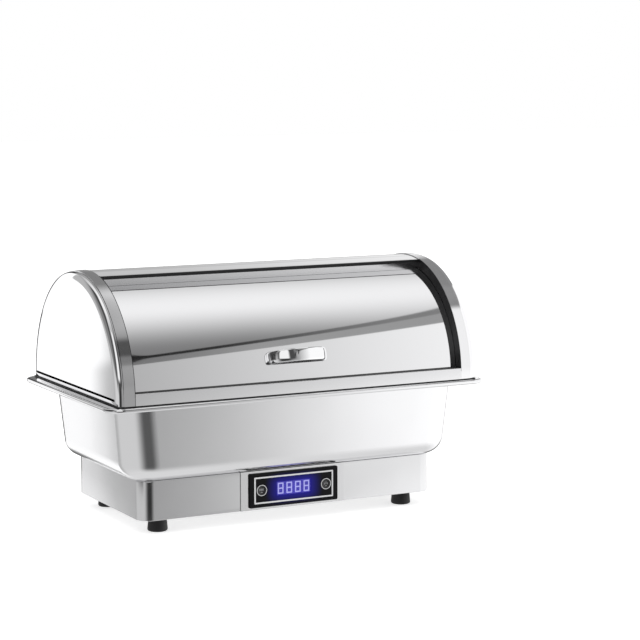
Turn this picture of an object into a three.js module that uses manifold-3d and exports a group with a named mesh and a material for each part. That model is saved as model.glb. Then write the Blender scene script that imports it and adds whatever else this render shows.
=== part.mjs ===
// Electric chafing dish with a roll-top lid: a steel water bath on a heated base, an arch cover
// that lifts off, and a lid that rolls back under the cover's fixed rear half.
// Millimetres, +Z up, front towards -Y, length along X, origin under the middle of the four feet.

import * as THREE from 'three';
import { mergeVertices } from 'three/addons/utils/BufferGeometryUtils.js';
import Module from 'manifold-3d';

const wasm = await Module();
wasm.setup();

// Facets
const cornerSteps = 5;
const archSteps = 28;
const roundSides = 18;
const smallSides = 12;
const tubeSides = 8;
const tubeSteps = 44;
const bendSteps = 4;

// Fits
const fitGap = 0.3;
const overrun = 2;
const weldTolerance = 0.001;

// Top flange of the water bath
const flangeLength = 620;
const flangeDepth = 358.4;
const flangeCorner = 25.8;
const flangeSheet = 1.5;
const lipHeight = 7;
const lipRound = 3;

// Food pan, hung in the flange
const foodRimSetback = 9;
const foodRimEndGap = 28.4;
const foodRimWidth = 12.5;
const foodPanDepth = 65;
const foodPanTaper = 6.5;
const foodPanCorner = 40;
const foodPanBottomRound = 15;
const foodSheet = 1;
const foodClearance = 2.5;

// Water pan
const flangeOverhangEnd = 34.4;
const flangeOverhangFront = 24.2;
const panDepth = 117.7;
const panTaperEnd = 8.5;
const panTaperFront = 4.7;
const panCorner = 46.6;
const panBottomRound = 28;
const panSheet = 1.2;
const panFlangeWidth = 5;

// Base housing
const baseHeight = 58.7;
const baseInsetEnd = 25.1;
const baseInsetFront = 23.6;
const baseCorner = 20.9;
const baseSheet = 1.2;
const baseLedge = 14;
const bottomSheet = 1.5;
const bottomRim = 8;
const ventCount = 6;
const ventPitch = 12;
const ventLength = 70;
const ventWidth = 4;
const ventOffset = 95;

// Feet
const footHeight = 21;
const footRadius = 15;
const footTopRadius = 13.5;
const footChamfer = 2;
const footInsetEnd = 38;
const footInsetFront = 29.7;
const footBore = 5.5;
const footShelf = 9;
const footScrewHead = 4;
const footScrewHeadHeight = 3;
const footScrewShank = 2;
const footScrewReach = 5;
const screwClearance = 0.4;

// Heater under the pan
const spreaderSheet = 3;
const spreaderSetbackEnd = 23;
const spreaderSetbackFront = 32.7;
const shieldSetbackFront = 10;
const shieldDepth = 16;
const shieldFlange = 8;
const shieldCorner = 10;
const shieldSheet = 1;
const elementRadius = 3.25;
const elementSetback = 25;
const elementTail = 20;
const cutoutRadius = 8;
const cutoutHeight = 7;
const cutoutTabLength = 26;
const cutoutTabWidth = 9;
const cutoutTabSheet = 1;
const probeRadius = 3;
const probeLength = 30;
const sensorSpread = 30;
const sensorMargin = 5.5;

// Control panel
const panelOffset = 2.5;
const controlPlateHalf = 86.5;
const controlSheet = 1.2;
const panelLength = 147;
const panelMargin = 3.6;
const bezelThickness = 2.5;
const bezelCorner = 2;
const windowLength = 57;
const windowHeight = 21;
const windowSheet = 1;
const windowSetback = 0.1;
const digitCount = 4;
const digitWidth = 8.6;
const digitHeight = 15.6;
const digitStroke = 1.9;
const digitPitch = 13.2;
const digitRelief = 0.4;
const digitPlate = 0.6;
const buttonSpacing = 53.4;
const buttonRadius = 8.7;
const buttonFit = 0.4;
const buttonProud = 0.5;
const buttonTravel = 1;
const buttonShoulder = 1.5;
const buttonShoulderSheet = 1.2;
const buttonStemRadius = 3.5;
const boardDepth = 10;
const boardSheet = 1.6;
const boardMargin = 0.5;
const boardHalfHeight = 19;
const boardOpeningMargin = 2;
const switchHeight = 4;
const switchHalf = 3;
const bossRadius = 3;
const relaySize = 18;
const relayHeight = 15;
const capacitorRadius = 6;
const capacitorHeight = 12;

// Power inlet at the back
const inletInset = 92;
const inletHalfLength = 24;
const inletHalfHeight = 13;
const inletFlangeSheet = 2.5;
const inletBodyHalfLength = 14;
const inletBodyHalfHeight = 10;
const inletBodyDepth = 27;
const socketHalfLength = 12;
const socketHalfHeight = 8;
const socketDepth = 18;
const socketPinLength = 8;
const socketPinHalfWidth = 1;
const socketPinHalfHeight = 2.5;
const socketPinSpacing = 7;
const socketPinDrop = 2;
const inletScrewSpacing = 19;
const inletScrewHead = 2.8;
const inletScrewHeadHeight = 1.7;
const inletScrewShank = 1.4;
const inletScrewReach = 4;

// Wiring
const terminalHalfLength = 30;
const terminalHalfWidth = 11;
const terminalHeight = 20;
const terminalInset = 58;
const terminalSlotWidth = 4;
const terminalSlotDepth = 8;
const leadRadius = 3;
const loomRadius = 3.5;
const loomSide = 40;

// Arch cover
const archSetback = 7.7;
const archCentreHeight = 7.5;
const capSetback = 16.6;
const shoulderWidth = 9.5;
const shoulderDrop = 4.5;
const bandWidth = 16.8;
const coverSheet = 1.2;
const sillHeight = 18.1;
const sillLedgeMargin = 1.5;
const sillFoot = 7.8;
const rearSheet = 1;
const rearFrontAngle = 76;
const rearLipGap = 2;
const rearEndTuck = 13;

// Lid and its hinge
const lidSink = 15.5;
const lidSheet = 1;
const lidRearAngle = 96;
const lidEndTuck = 7;
const stripRunningGap = 1.2;
const stripWidth = 9.4;
const stripEndAngle = 2;
const armSheet = 1.2;
const armTuck = 2.4;
const hubRadius = 7;
const pinRadius = 4;
const pinHeadRadius = 6;
const pinHeadHeight = 3;
const pinEndGap = 2;
const bushRadius = 6.5;
const bushLength = 3.7;
const bracketHalf = 12;
const bracketRise = 10;

// Lid handle
const handleOffset = -3.5;
const handleAngle = 17;
const handleLength = 95;
const handleWidth = 19;
const handleHeight = 28.4;
const handleStrap = 4;
const handleLeg = 8;
const handleRound = 15;
const handleScrewShank = 1.8;
const handleScrewHead = 4;
const handleScrewHeadHeight = 2.5;
const handleScrewReach = 11;
const handleBoreDepth = 13;

// Heights that follow from the sizes above
const baseBottom = footHeight + fitGap;
const baseTop = baseBottom + baseHeight;
const panBottom = baseTop + fitGap;
const flangeTop = panBottom + panDepth;
const flangeUnder = flangeTop - flangeSheet;
const coverFoot = flangeTop + fitGap;
const sillTop = coverFoot + sillHeight;
const archCentre = flangeTop + archCentreHeight;

// Half sizes in plan
const flangeHalfX = flangeLength / 2;
const flangeHalfY = flangeDepth / 2;
const panTopHalfX = flangeHalfX - flangeOverhangEnd;
const panTopHalfY = flangeHalfY - flangeOverhangFront;
const panBottomHalfX = panTopHalfX - panTaperEnd;
const panBottomHalfY = panTopHalfY - panTaperFront;
const baseHalfX = panBottomHalfX - baseInsetEnd;
const baseHalfY = panBottomHalfY - baseInsetFront;
const archRadius = flangeHalfY - archSetback;
const foodRimHalfX = flangeHalfX - capSetback - foodRimEndGap;
const foodRimHalfY = archRadius - foodRimSetback;
const foodTopHalfX = foodRimHalfX - foodRimWidth;
const foodTopHalfY = foodRimHalfY - foodRimWidth;
const openingHalfX = foodTopHalfX + foodClearance;
const openingHalfY = foodTopHalfY + foodClearance;

// Finishes
const steel = new THREE.MeshStandardMaterial({ color: 0xc9cacc, metalness: 1, roughness: 0.22 });
const satinSteel = new THREE.MeshStandardMaterial({ color: 0xb9babc, metalness: 1, roughness: 0.4 });
const blackPlastic = new THREE.MeshStandardMaterial({ color: 0x101012, metalness: 0, roughness: 0.35 });
const blackRubber = new THREE.MeshStandardMaterial({ color: 0x141414, metalness: 0, roughness: 0.8 });
const aluminium = new THREE.MeshStandardMaterial({ color: 0xb4b6b8, metalness: 1, roughness: 0.5 });
const smokedGlass = new THREE.MeshStandardMaterial({
  color: 0x0a0b20, metalness: 0, roughness: 0.1, transparent: true, opacity: 0.35,
});
const blueLight = new THREE.MeshStandardMaterial({
  color: 0x9a9cff, metalness: 0, roughness: 0.4, emissive: 0x5a5cff,
});
const greenBoard = new THREE.MeshStandardMaterial({ color: 0x1f5b34, metalness: 0, roughness: 0.6 });
const paleNylon = new THREE.MeshStandardMaterial({ color: 0xd8d4c8, metalness: 0, roughness: 0.5 });
const blackCable = new THREE.MeshStandardMaterial({ color: 0x18181a, metalness: 0, roughness: 0.6 });

// The whole dish
const dish = new THREE.Group();

function place(name, geometry, material, parent = dish) {
  const mesh = new THREE.Mesh(geometry, material);
  mesh.name = name;
  parent.add(mesh);
  return mesh;
}

// Solids that can be cut and joined
function welded(geometry) {
  const bare = geometry.clone();
  bare.deleteAttribute('normal');
  bare.deleteAttribute('uv');
  return mergeVertices(bare, weldTolerance);
}

function toSolid(geometry) {
  const shape = welded(geometry);
  const vertProperties = Float32Array.from(shape.attributes.position.array);
  const triVerts = Uint32Array.from(shape.index.array);
  return new wasm.Manifold(new wasm.Mesh({ numProp: 3, vertProperties, triVerts }));
}

function fromSolid(solid) {
  const { vertProperties, triVerts } = solid.getMesh();
  const geometry = new THREE.BufferGeometry();
  geometry.setAttribute('position', new THREE.BufferAttribute(vertProperties, 3));
  geometry.setIndex(new THREE.BufferAttribute(triVerts, 1));
  geometry.computeVertexNormals();
  return geometry;
}

function cut(body, ...tools) {
  return fromSolid(tools.reduce((rest, tool) => rest.subtract(toSolid(tool)), toSolid(body)));
}

function join(...pieces) {
  return fromSolid(pieces.map(toSolid).reduce((whole, piece) => whole.add(piece)));
}

// The same piece on the other end of the dish, with its faces turned the right way out again
function mirroredX(geometry) {
  const other = welded(geometry);
  other.scale(-1, 1, 1);
  const order = other.index.array;
  for (let corner = 0; corner < order.length; corner += 3) {
    [order[corner], order[corner + 1]] = [order[corner + 1], order[corner]];
  }
  other.computeVertexNormals();
  return other;
}

// Basic forms
function block(x0, x1, y0, y1, z0, z1) {
  const box = new THREE.BoxGeometry(x1 - x0, y1 - y0, z1 - z0);
  return box.translate((x0 + x1) / 2, (y0 + y1) / 2, (z0 + z1) / 2);
}

function rodZ(radius, z0, z1, x, y, sides = roundSides) {
  const rod = new THREE.CylinderGeometry(radius, radius, z1 - z0, sides);
  return rod.rotateX(Math.PI / 2).translate(x, y, (z0 + z1) / 2);
}

function rodY(radius, y0, y1, x, z, sides = roundSides) {
  const rod = new THREE.CylinderGeometry(radius, radius, y1 - y0, sides);
  return rod.translate(x, (y0 + y1) / 2, z);
}

function rodX(radius, x0, x1, y, z, sides = roundSides) {
  const rod = new THREE.CylinderGeometry(radius, radius, x1 - x0, sides);
  return rod.rotateZ(Math.PI / 2).translate((x0 + x1) / 2, y, z);
}

function turned(profile, sides = roundSides) {
  const points = profile.map(([radius, height]) => new THREE.Vector2(radius, height));
  return new THREE.LatheGeometry(points, sides).rotateX(Math.PI / 2);
}

// An outline in the YZ plane, pushed along X
function slabX(outline, x0, x1) {
  const slab = new THREE.ExtrudeGeometry(outline, {
    depth: x1 - x0, bevelEnabled: false, curveSegments: archSteps / 2,
  });
  const turn = new THREE.Matrix4().makeBasis(
    new THREE.Vector3(0, 1, 0), new THREE.Vector3(0, 0, 1), new THREE.Vector3(1, 0, 0),
  );
  return slab.applyMatrix4(turn).translate(x0, 0, 0);
}

// An outline in the XZ plane, pushed along Y
function slabY(outline, y0, y1) {
  const slab = new THREE.ExtrudeGeometry(outline, {
    depth: y1 - y0, bevelEnabled: false, curveSegments: bendSteps,
  });
  return slab.rotateX(Math.PI / 2).translate(0, y1, 0);
}

function roundedOutline(halfX, halfY, radius) {
  const outline = new THREE.Shape();
  outline.moveTo(halfX, -halfY + radius);
  outline.absarc(halfX - radius, halfY - radius, radius, 0, Math.PI / 2, false);
  outline.absarc(-halfX + radius, halfY - radius, radius, Math.PI / 2, Math.PI, false);
  outline.absarc(-halfX + radius, -halfY + radius, radius, Math.PI, 1.5 * Math.PI, false);
  outline.absarc(halfX - radius, -halfY + radius, radius, 1.5 * Math.PI, 2 * Math.PI, false);
  return outline;
}

// A skin through rings of points. Capped skins close each end with a fan, looped ones join their ends.
function skin(rings, looped) {
  const count = rings[0].length;
  const points = rings.flat();
  const triangles = [];
  const spans = looped ? rings.length : rings.length - 1;
  for (let ring = 0; ring < spans; ring += 1) {
    const next = (ring + 1) % rings.length;
    for (let step = 0; step < count; step += 1) {
      const after = (step + 1) % count;
      const a = ring * count + step;
      const b = ring * count + after;
      const c = next * count + after;
      const d = next * count + step;
      triangles.push(a, b, c, a, c, d);
    }
  }
  if (!looped) {
    for (const [ring, forward] of [[0, false], [rings.length - 1, true]]) {
      const middle = rings[ring].reduce((sum, point) => sum.add(point), new THREE.Vector3());
      points.push(middle.divideScalar(count));
      for (let step = 0; step < count; step += 1) {
        const a = ring * count + step;
        const b = ring * count + ((step + 1) % count);
        triangles.push(...(forward ? [a, b, points.length - 1] : [b, a, points.length - 1]));
      }
    }
  }
  return outwards(points, triangles);
}

function outwards(points, triangles) {
  let volume = 0;
  for (let corner = 0; corner < triangles.length; corner += 3) {
    const [a, b, c] = [0, 1, 2].map((side) => points[triangles[corner + side]]);
    volume += a.dot(new THREE.Vector3().crossVectors(b, c));
  }
  const order = volume < 0 ? triangles.toReversed() : triangles;
  const geometry = new THREE.BufferGeometry();
  geometry.setAttribute('position', new THREE.Float32BufferAttribute(points.flatMap((p) => [...p]), 3));
  geometry.setIndex(order);
  geometry.computeVertexNormals();
  return geometry;
}

// A level ring with rounded corners, for pans, trays and housings
function levelRing(halfX, halfY, radius, height) {
  const ring = [];
  for (let corner = 0; corner < 4; corner += 1) {
    const sideX = corner === 0 || corner === 3 ? 1 : -1;
    const sideY = corner < 2 ? 1 : -1;
    for (let step = 0; step <= cornerSteps; step += 1) {
      const angle = (corner + step / cornerSteps) * Math.PI / 2;
      const x = sideX * (halfX - radius) + radius * Math.cos(angle);
      const y = sideY * (halfY - radius) + radius * Math.sin(angle);
      ring.push(new THREE.Vector3(x, y, height));
    }
  }
  return ring;
}

// Rings down a rounded bottom edge, from the flat of the bottom out to the wall
function bottomRound(halfX, halfY, corner, round, bottom) {
  const rings = [];
  for (let step = 0; step <= cornerSteps; step += 1) {
    const angle = (step / cornerSteps) * Math.PI / 2;
    const out = round * (1 - Math.sin(angle));
    const rise = round * (1 - Math.cos(angle));
    rings.push(levelRing(halfX - out, halfY - out, corner - out, bottom + rise));
  }
  return rings;
}

// Top flange: a flat frame with a rounded edge and a turned-down lip
function topFlange() {
  const rings = [levelRing(openingHalfX, openingHalfY, foodPanCorner, flangeTop)];
  for (let step = 0; step <= bendSteps; step += 1) {
    const angle = (step / bendSteps) * Math.PI / 2;
    const inward = lipRound * (1 - Math.sin(angle));
    const drop = lipRound * (1 - Math.cos(angle));
    rings.push(levelRing(flangeHalfX - inward, flangeHalfY - inward, flangeCorner - inward, flangeTop - drop));
  }
  const innerX = flangeHalfX - flangeSheet;
  const innerY = flangeHalfY - flangeSheet;
  const innerCorner = flangeCorner - flangeSheet;
  rings.push(levelRing(flangeHalfX, flangeHalfY, flangeCorner, flangeTop - lipHeight));
  rings.push(levelRing(innerX, innerY, innerCorner, flangeTop - lipHeight));
  rings.push(levelRing(innerX, innerY, innerCorner, flangeUnder));
  rings.push(levelRing(openingHalfX, openingHalfY, foodPanCorner, flangeUnder));
  return skin(rings, true);
}

// A drawn pan with tapered walls, a rounded bottom edge and a flat rim turned outwards
function drawnPan({ topX, topY, taperX, taperY, corner, round, sheet, bottom, rimUnder, rimWidth }) {
  const lowX = topX - taperX;
  const lowY = topY - taperY;
  const rimTop = rimUnder + sheet;
  const rings = bottomRound(lowX, lowY, corner, round, bottom);
  rings.push(levelRing(topX, topY, corner, rimUnder));
  rings.push(levelRing(topX + rimWidth, topY + rimWidth, corner + rimWidth, rimUnder));
  rings.push(levelRing(topX + rimWidth, topY + rimWidth, corner + rimWidth, rimTop));
  rings.push(levelRing(topX - sheet, topY - sheet, corner - sheet, rimTop));
  const inside = bottomRound(lowX - sheet, lowY - sheet, corner - sheet, round - sheet, bottom + sheet);
  rings.push(...inside.toReversed());
  return skin(rings, false);
}

function waterPan() {
  return drawnPan({
    topX: panTopHalfX,
    topY: panTopHalfY,
    taperX: panTaperEnd,
    taperY: panTaperFront,
    corner: panCorner,
    round: panBottomRound,
    sheet: panSheet,
    bottom: panBottom,
    rimUnder: flangeUnder - fitGap - panSheet,
    rimWidth: panFlangeWidth,
  });
}

function foodPan() {
  return drawnPan({
    topX: foodTopHalfX,
    topY: foodTopHalfY,
    taperX: foodPanTaper,
    taperY: foodPanTaper,
    corner: foodPanCorner - foodClearance,
    round: foodPanBottomRound,
    sheet: foodSheet,
    bottom: coverFoot - foodPanDepth,
    rimUnder: coverFoot,
    rimWidth: foodRimWidth,
  });
}

place('top_flange', topFlange(), steel);
place('water_pan', waterPan(), steel);
place('food_pan', foodPan(), satinSteel);

// Control panel depths, from the base's front face outwards
const baseFront = -baseHalfY;
const controlRear = baseFront - fitGap;
const controlFront = controlRear - controlSheet;
const bezelRear = controlFront - fitGap;
const bezelFront = bezelRear - bezelThickness;
const boardFront = baseFront + boardDepth;
const panelMiddle = baseBottom + baseHeight / 2;
const panelHalfHeight = baseHeight / 2 - panelMargin;
const buttonHole = buttonRadius + buttonFit;
const buttonFlange = buttonHole + buttonShoulder;
const boardHalfLength = buttonSpacing + buttonFlange + boardMargin;
const cutoutHalfLength = boardHalfLength + boardOpeningMargin;
const cutoutHalfHeight = boardHalfHeight + boardOpeningMargin;

function panelCutout() {
  return block(
    panelOffset - cutoutHalfLength, panelOffset + cutoutHalfLength,
    controlFront - overrun, baseFront + baseSheet + overrun,
    panelMiddle - cutoutHalfHeight, panelMiddle + cutoutHalfHeight,
  );
}

// Power inlet places
const inletX = baseHalfX - inletInset;
const baseRear = baseHalfY;
const inletFlangeRear = baseRear + fitGap;
const inletFace = inletFlangeRear + inletFlangeSheet;
const inletEnd = inletFace - inletBodyDepth;

// Base housing: four walls with a ledge under the pan, open below
function baseHousing() {
  const insideX = baseHalfX - baseSheet;
  const insideY = baseHalfY - baseSheet;
  const insideCorner = baseCorner - baseSheet;
  const ledgeX = baseHalfX - baseLedge;
  const ledgeY = baseHalfY - baseLedge;
  const ledgeCorner = baseCorner - baseLedge;
  const body = skin([
    levelRing(baseHalfX, baseHalfY, baseCorner, baseBottom),
    levelRing(baseHalfX, baseHalfY, baseCorner, baseTop),
    levelRing(ledgeX, ledgeY, ledgeCorner, baseTop),
    levelRing(ledgeX, ledgeY, ledgeCorner, baseTop - baseSheet),
    levelRing(insideX, insideY, insideCorner, baseTop - baseSheet),
    levelRing(insideX, insideY, insideCorner, baseBottom),
  ], true);
  const inletHole = block(
    inletX - inletBodyHalfLength - fitGap, inletX + inletBodyHalfLength + fitGap,
    baseRear - baseSheet - overrun, baseRear + overrun,
    panelMiddle - inletBodyHalfHeight - fitGap, panelMiddle + inletBodyHalfHeight + fitGap,
  );
  const screwHoles = [-1, 1].map((side) => rodY(
    inletScrewShank + screwClearance, baseRear - baseSheet - overrun, baseRear + overrun,
    inletX + side * inletScrewSpacing, panelMiddle, smallSides,
  ));
  return cut(body, panelCutout(), inletHole, ...screwHoles);
}

const footX = baseHalfX - footInsetEnd;
const footY = baseHalfY - footInsetFront;
const feet = [
  ['front_left', -1, -1],
  ['front_right', 1, -1],
  ['rear_left', -1, 1],
  ['rear_right', 1, 1],
];

// Bottom plate: a shallow tray inside the walls, with vent slots and a hole over each foot
function bottomPlate() {
  const outX = baseHalfX - baseSheet - fitGap;
  const outY = baseHalfY - baseSheet - fitGap;
  const outCorner = baseCorner - baseSheet - fitGap;
  const inX = outX - bottomSheet;
  const inY = outY - bottomSheet;
  const inCorner = outCorner - bottomSheet;
  const tray = skin([
    levelRing(outX, outY, outCorner, baseBottom),
    levelRing(outX, outY, outCorner, baseBottom + bottomRim),
    levelRing(inX, inY, inCorner, baseBottom + bottomRim),
    levelRing(inX, inY, inCorner, baseBottom + bottomSheet),
  ], false);
  const low = baseBottom - overrun;
  const high = baseBottom + bottomSheet + overrun;
  const holes = feet.map(([, sideX, sideY]) => rodZ(
    footScrewShank + screwClearance, low, high, sideX * footX, sideY * footY, smallSides,
  ));
  const vents = [];
  for (const side of [-1, 1]) {
    for (let row = 0; row < ventCount; row += 1) {
      const middleX = side * ventOffset;
      const middleY = (row - (ventCount - 1) / 2) * ventPitch;
      vents.push(block(
        middleX - ventLength / 2, middleX + ventLength / 2,
        middleY - ventWidth / 2, middleY + ventWidth / 2, low, high,
      ));
    }
  }
  return cut(tray, ...holes, ...vents);
}

place('base_housing', baseHousing(), satinSteel);
place('bottom_plate', bottomPlate(), aluminium);

// Feet: rubber, with a stepped bore for the screw that holds each one
function foot() {
  const bore = footScrewShank + screwClearance;
  return turned([
    [footBore, 0],
    [footRadius - footChamfer, 0],
    [footRadius, footChamfer],
    [footTopRadius, footHeight],
    [bore, footHeight],
    [bore, footShelf],
    [footBore, footShelf],
    [footBore, 0],
  ]);
}

function footScrew() {
  const headTop = footShelf - fitGap;
  const tip = baseBottom + bottomSheet + footScrewReach;
  return turned([
    [0, headTop - footScrewHeadHeight],
    [footScrewHead, headTop - footScrewHeadHeight],
    [footScrewHead, headTop],
    [footScrewShank, headTop],
    [footScrewShank, tip],
    [0, tip],
  ], smallSides);
}

for (const [corner, sideX, sideY] of feet) {
  const rubber = place(`foot_${corner}`, foot(), blackRubber);
  const screw = place(`foot_screw_${corner}`, footScrew(), satinSteel);
  rubber.position.set(sideX * footX, sideY * footY, 0);
  screw.position.set(sideX * footX, sideY * footY, 0);
}

// Heater: a spreader plate under the pan, a U-shaped element below it, and a tray that shields it
const spreaderHalfLength = baseHalfX - baseLedge - spreaderSetbackEnd;
const spreaderHalfWidth = baseHalfY - baseLedge - spreaderSetbackFront;
const spreaderTop = panBottom - fitGap;
const spreaderUnder = spreaderTop - spreaderSheet;
const hangerTop = spreaderUnder - fitGap;
const elementLevel = hangerTop - elementRadius;

// The shield stops short of the spreader's end, which leaves a strip for the cutout and the probe
const sensorStrip = 2 * (cutoutRadius + sensorMargin);
const shieldEnd = spreaderHalfLength - sensorStrip;
const shieldHalfLength = shieldEnd - shieldFlange;
const shieldHalfWidth = spreaderHalfWidth - shieldSetbackFront;
const elementBend = shieldHalfWidth - elementSetback;

class HairpinCurve extends THREE.Curve {
  getPoint(share, target = new THREE.Vector3()) {
    const endX = shieldHalfLength + elementTail;
    const bendX = elementBend + elementSetback - shieldHalfLength;
    const straight = endX - bendX;
    const bend = Math.PI * elementBend;
    const along = share * (2 * straight + bend);
    if (along < straight) {
      return target.set(endX - along, -elementBend, elementLevel);
    }
    if (along > straight + bend) {
      return target.set(bendX + along - straight - bend, elementBend, elementLevel);
    }
    const angle = (along - straight) / elementBend;
    const x = bendX - elementBend * Math.sin(angle);
    return target.set(x, -elementBend * Math.cos(angle), elementLevel);
  }
}

function roundTube(path, radius, steps) {
  const section = new THREE.Shape();
  section.absarc(0, 0, radius, 0, 2 * Math.PI, false);
  return new THREE.ExtrudeGeometry(section, {
    extrudePath: path, steps, bevelEnabled: false, curveSegments: tubeSides / 2,
  });
}

function heatShield() {
  const flangeY = shieldHalfWidth + shieldFlange;
  const flangeCornerRadius = shieldCorner + shieldFlange;
  const bottom = hangerTop - shieldDepth;
  const insideX = shieldHalfLength - shieldSheet;
  const insideY = shieldHalfWidth - shieldSheet;
  const insideCorner = shieldCorner - shieldSheet;
  const tray = skin([
    levelRing(shieldHalfLength, shieldHalfWidth, shieldCorner, bottom),
    levelRing(shieldHalfLength, shieldHalfWidth, shieldCorner, hangerTop - shieldSheet),
    levelRing(shieldEnd, flangeY, flangeCornerRadius, hangerTop - shieldSheet),
    levelRing(shieldEnd, flangeY, flangeCornerRadius, hangerTop),
    levelRing(insideX, insideY, insideCorner, hangerTop),
    levelRing(insideX, insideY, insideCorner, bottom + shieldSheet),
  ], false);
  const passage = elementRadius + screwClearance;
  const notches = [-1, 1].map((side) => block(
    insideX - overrun, shieldEnd + overrun,
    side * elementBend - passage, side * elementBend + passage,
    elementLevel - passage, hangerTop + overrun,
  ));
  return cut(tray, ...notches);
}

const sensorX = (spreaderHalfLength + shieldEnd) / 2;

function thermalCutout() {
  const can = rodZ(cutoutRadius, hangerTop - cutoutHeight, hangerTop, 0, 0);
  const tab = block(
    -cutoutTabWidth / 2, cutoutTabWidth / 2, -cutoutTabLength / 2, cutoutTabLength / 2,
    hangerTop - cutoutTabSheet, hangerTop,
  );
  return join(can, tab);
}

const spreader = block(
  -spreaderHalfLength, spreaderHalfLength, -spreaderHalfWidth, spreaderHalfWidth, spreaderUnder, spreaderTop,
);
place('heat_spreader', spreader, aluminium);
place('heating_element', roundTube(new HairpinCurve(), elementRadius, tubeSteps), satinSteel);
place('heat_shield', heatShield(), satinSteel);
place('thermal_cutout', thermalCutout(), satinSteel).position.set(-sensorX, -sensorSpread, 0);
const probe = rodY(
  probeRadius, sensorSpread - probeLength / 2, sensorSpread + probeLength / 2,
  -sensorX, hangerTop - probeRadius, smallSides,
);
place('temperature_probe', probe, satinSteel);

// Control plate and bezel on the front of the base
function controlPlate() {
  const plate = block(
    panelOffset - controlPlateHalf, panelOffset + controlPlateHalf,
    controlFront, controlRear, baseBottom, baseTop,
  );
  return cut(plate, panelCutout());
}

const buttonSides = [-1, 1];
const bossX = boardHalfLength - bossRadius;
const bossZ = boardHalfHeight - bossRadius;

function panelBezel() {
  const outline = roundedOutline(panelLength / 2, panelHalfHeight, bezelCorner);
  const plate = slabY(outline, bezelFront, bezelRear).translate(panelOffset, 0, panelMiddle);
  const bosses = [];
  for (const sideX of [-1, 1]) {
    for (const sideZ of [-1, 1]) {
      const x = panelOffset + sideX * bossX;
      const z = panelMiddle + sideZ * bossZ;
      bosses.push(rodY(bossRadius, bezelFront + bezelThickness / 2, boardFront - fitGap, x, z, smallSides));
    }
  }
  const holes = buttonSides.map((side) => rodY(
    buttonHole, bezelFront - overrun, bezelRear + overrun,
    panelOffset + side * buttonSpacing, panelMiddle,
  ));
  const view = block(
    panelOffset - windowLength / 2, panelOffset + windowLength / 2,
    bezelFront - overrun, bezelRear + overrun,
    panelMiddle - windowHeight / 2, panelMiddle + windowHeight / 2,
  );
  return cut(join(plate, ...bosses), ...holes, view);
}

place('control_plate', controlPlate(), satinSteel);
place('panel_bezel', panelBezel(), blackPlastic);

// Display: smoked window, lit digits and the module behind them
const windowHalfLength = windowLength / 2 - fitGap;
const windowHalfHeight = windowHeight / 2 - fitGap;
const windowFront = bezelFront + windowSetback;
const windowRear = windowFront + windowSheet;
const digitFront = windowRear + fitGap;
const digitPlateFront = digitFront + digitRelief;
const digitPlateRear = digitPlateFront + digitPlate;
const moduleFront = digitPlateRear + fitGap;

function centredBlock(halfX, halfZ, y0, y1) {
  return block(panelOffset - halfX, panelOffset + halfX, y0, y1, panelMiddle - halfZ, panelMiddle + halfZ);
}

function digit(middleX) {
  const x = (digitWidth - digitStroke) / 2;
  const z = (digitHeight - digitStroke) / 2;
  const halfStroke = digitStroke / 2;
  const low = panelMiddle - digitHeight / 2;
  const high = panelMiddle + digitHeight / 2;
  const bars = [-z, 0, z].map((level) => block(
    middleX - x - halfStroke, middleX + x + halfStroke, digitFront, digitPlateFront + digitPlate / 2,
    panelMiddle + level - halfStroke, panelMiddle + level + halfStroke,
  ));
  const posts = [-x, x].map((side) => block(
    middleX + side - halfStroke, middleX + side + halfStroke,
    digitFront, digitPlateFront + digitPlate / 2, low, high,
  ));
  return [...bars, ...posts];
}

function displayDigits() {
  const strokes = [];
  for (let order = 0; order < digitCount; order += 1) {
    strokes.push(...digit(panelOffset + (order - (digitCount - 1) / 2) * digitPitch));
  }
  return join(centredBlock(windowHalfLength, windowHalfHeight, digitPlateFront, digitPlateRear), ...strokes);
}

place('display_window', centredBlock(windowHalfLength, windowHalfHeight, windowFront, windowRear), smokedGlass);
place('display_digits', displayDigits(), blueLight);
const displayModule = centredBlock(windowHalfLength, windowHalfHeight, moduleFront, boardFront - fitGap);
place('display_module', displayModule, blackPlastic);

// Circuit board with two push switches, a relay and two capacitors
function circuitBoard() {
  const rear = boardFront + boardSheet;
  const board = centredBlock(boardHalfLength, boardHalfHeight, boardFront, rear);
  const parts = buttonSides.map((side) => {
    const x = panelOffset + side * buttonSpacing;
    return block(
      x - switchHalf, x + switchHalf, boardFront - switchHeight, boardFront + boardSheet / 2,
      panelMiddle - switchHalf, panelMiddle + switchHalf,
    );
  });
  parts.push(centredBlock(relaySize / 2, relaySize / 2, rear - boardSheet / 2, rear + relayHeight));
  for (const side of buttonSides) {
    const x = panelOffset + side * (relaySize + capacitorRadius);
    parts.push(rodY(capacitorRadius, rear - boardSheet / 2, rear + capacitorHeight, x, panelMiddle, smallSides));
  }
  return join(board, ...parts);
}

place('circuit_board', circuitBoard(), greenBoard);

// Push buttons: a round cap in the bezel, a shoulder that keeps it in, and a stem to its switch
function button() {
  const capFront = bezelFront - buttonProud;
  const shoulderFront = bezelRear + fitGap;
  const shoulderRear = shoulderFront + buttonShoulderSheet;
  const stemEnd = boardFront - switchHeight - buttonTravel - fitGap;
  const cap = rodY(buttonRadius, capFront, shoulderRear, 0, panelMiddle);
  const shoulder = rodY(buttonFlange, shoulderFront, shoulderRear, 0, panelMiddle);
  const stem = rodY(buttonStemRadius, shoulderFront, stemEnd, 0, panelMiddle, smallSides);
  return join(cap, shoulder, stem);
}

place('button_left', button(), blackPlastic).position.x = panelOffset - buttonSpacing;
place('button_right', button(), blackPlastic).position.x = panelOffset + buttonSpacing;

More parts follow.
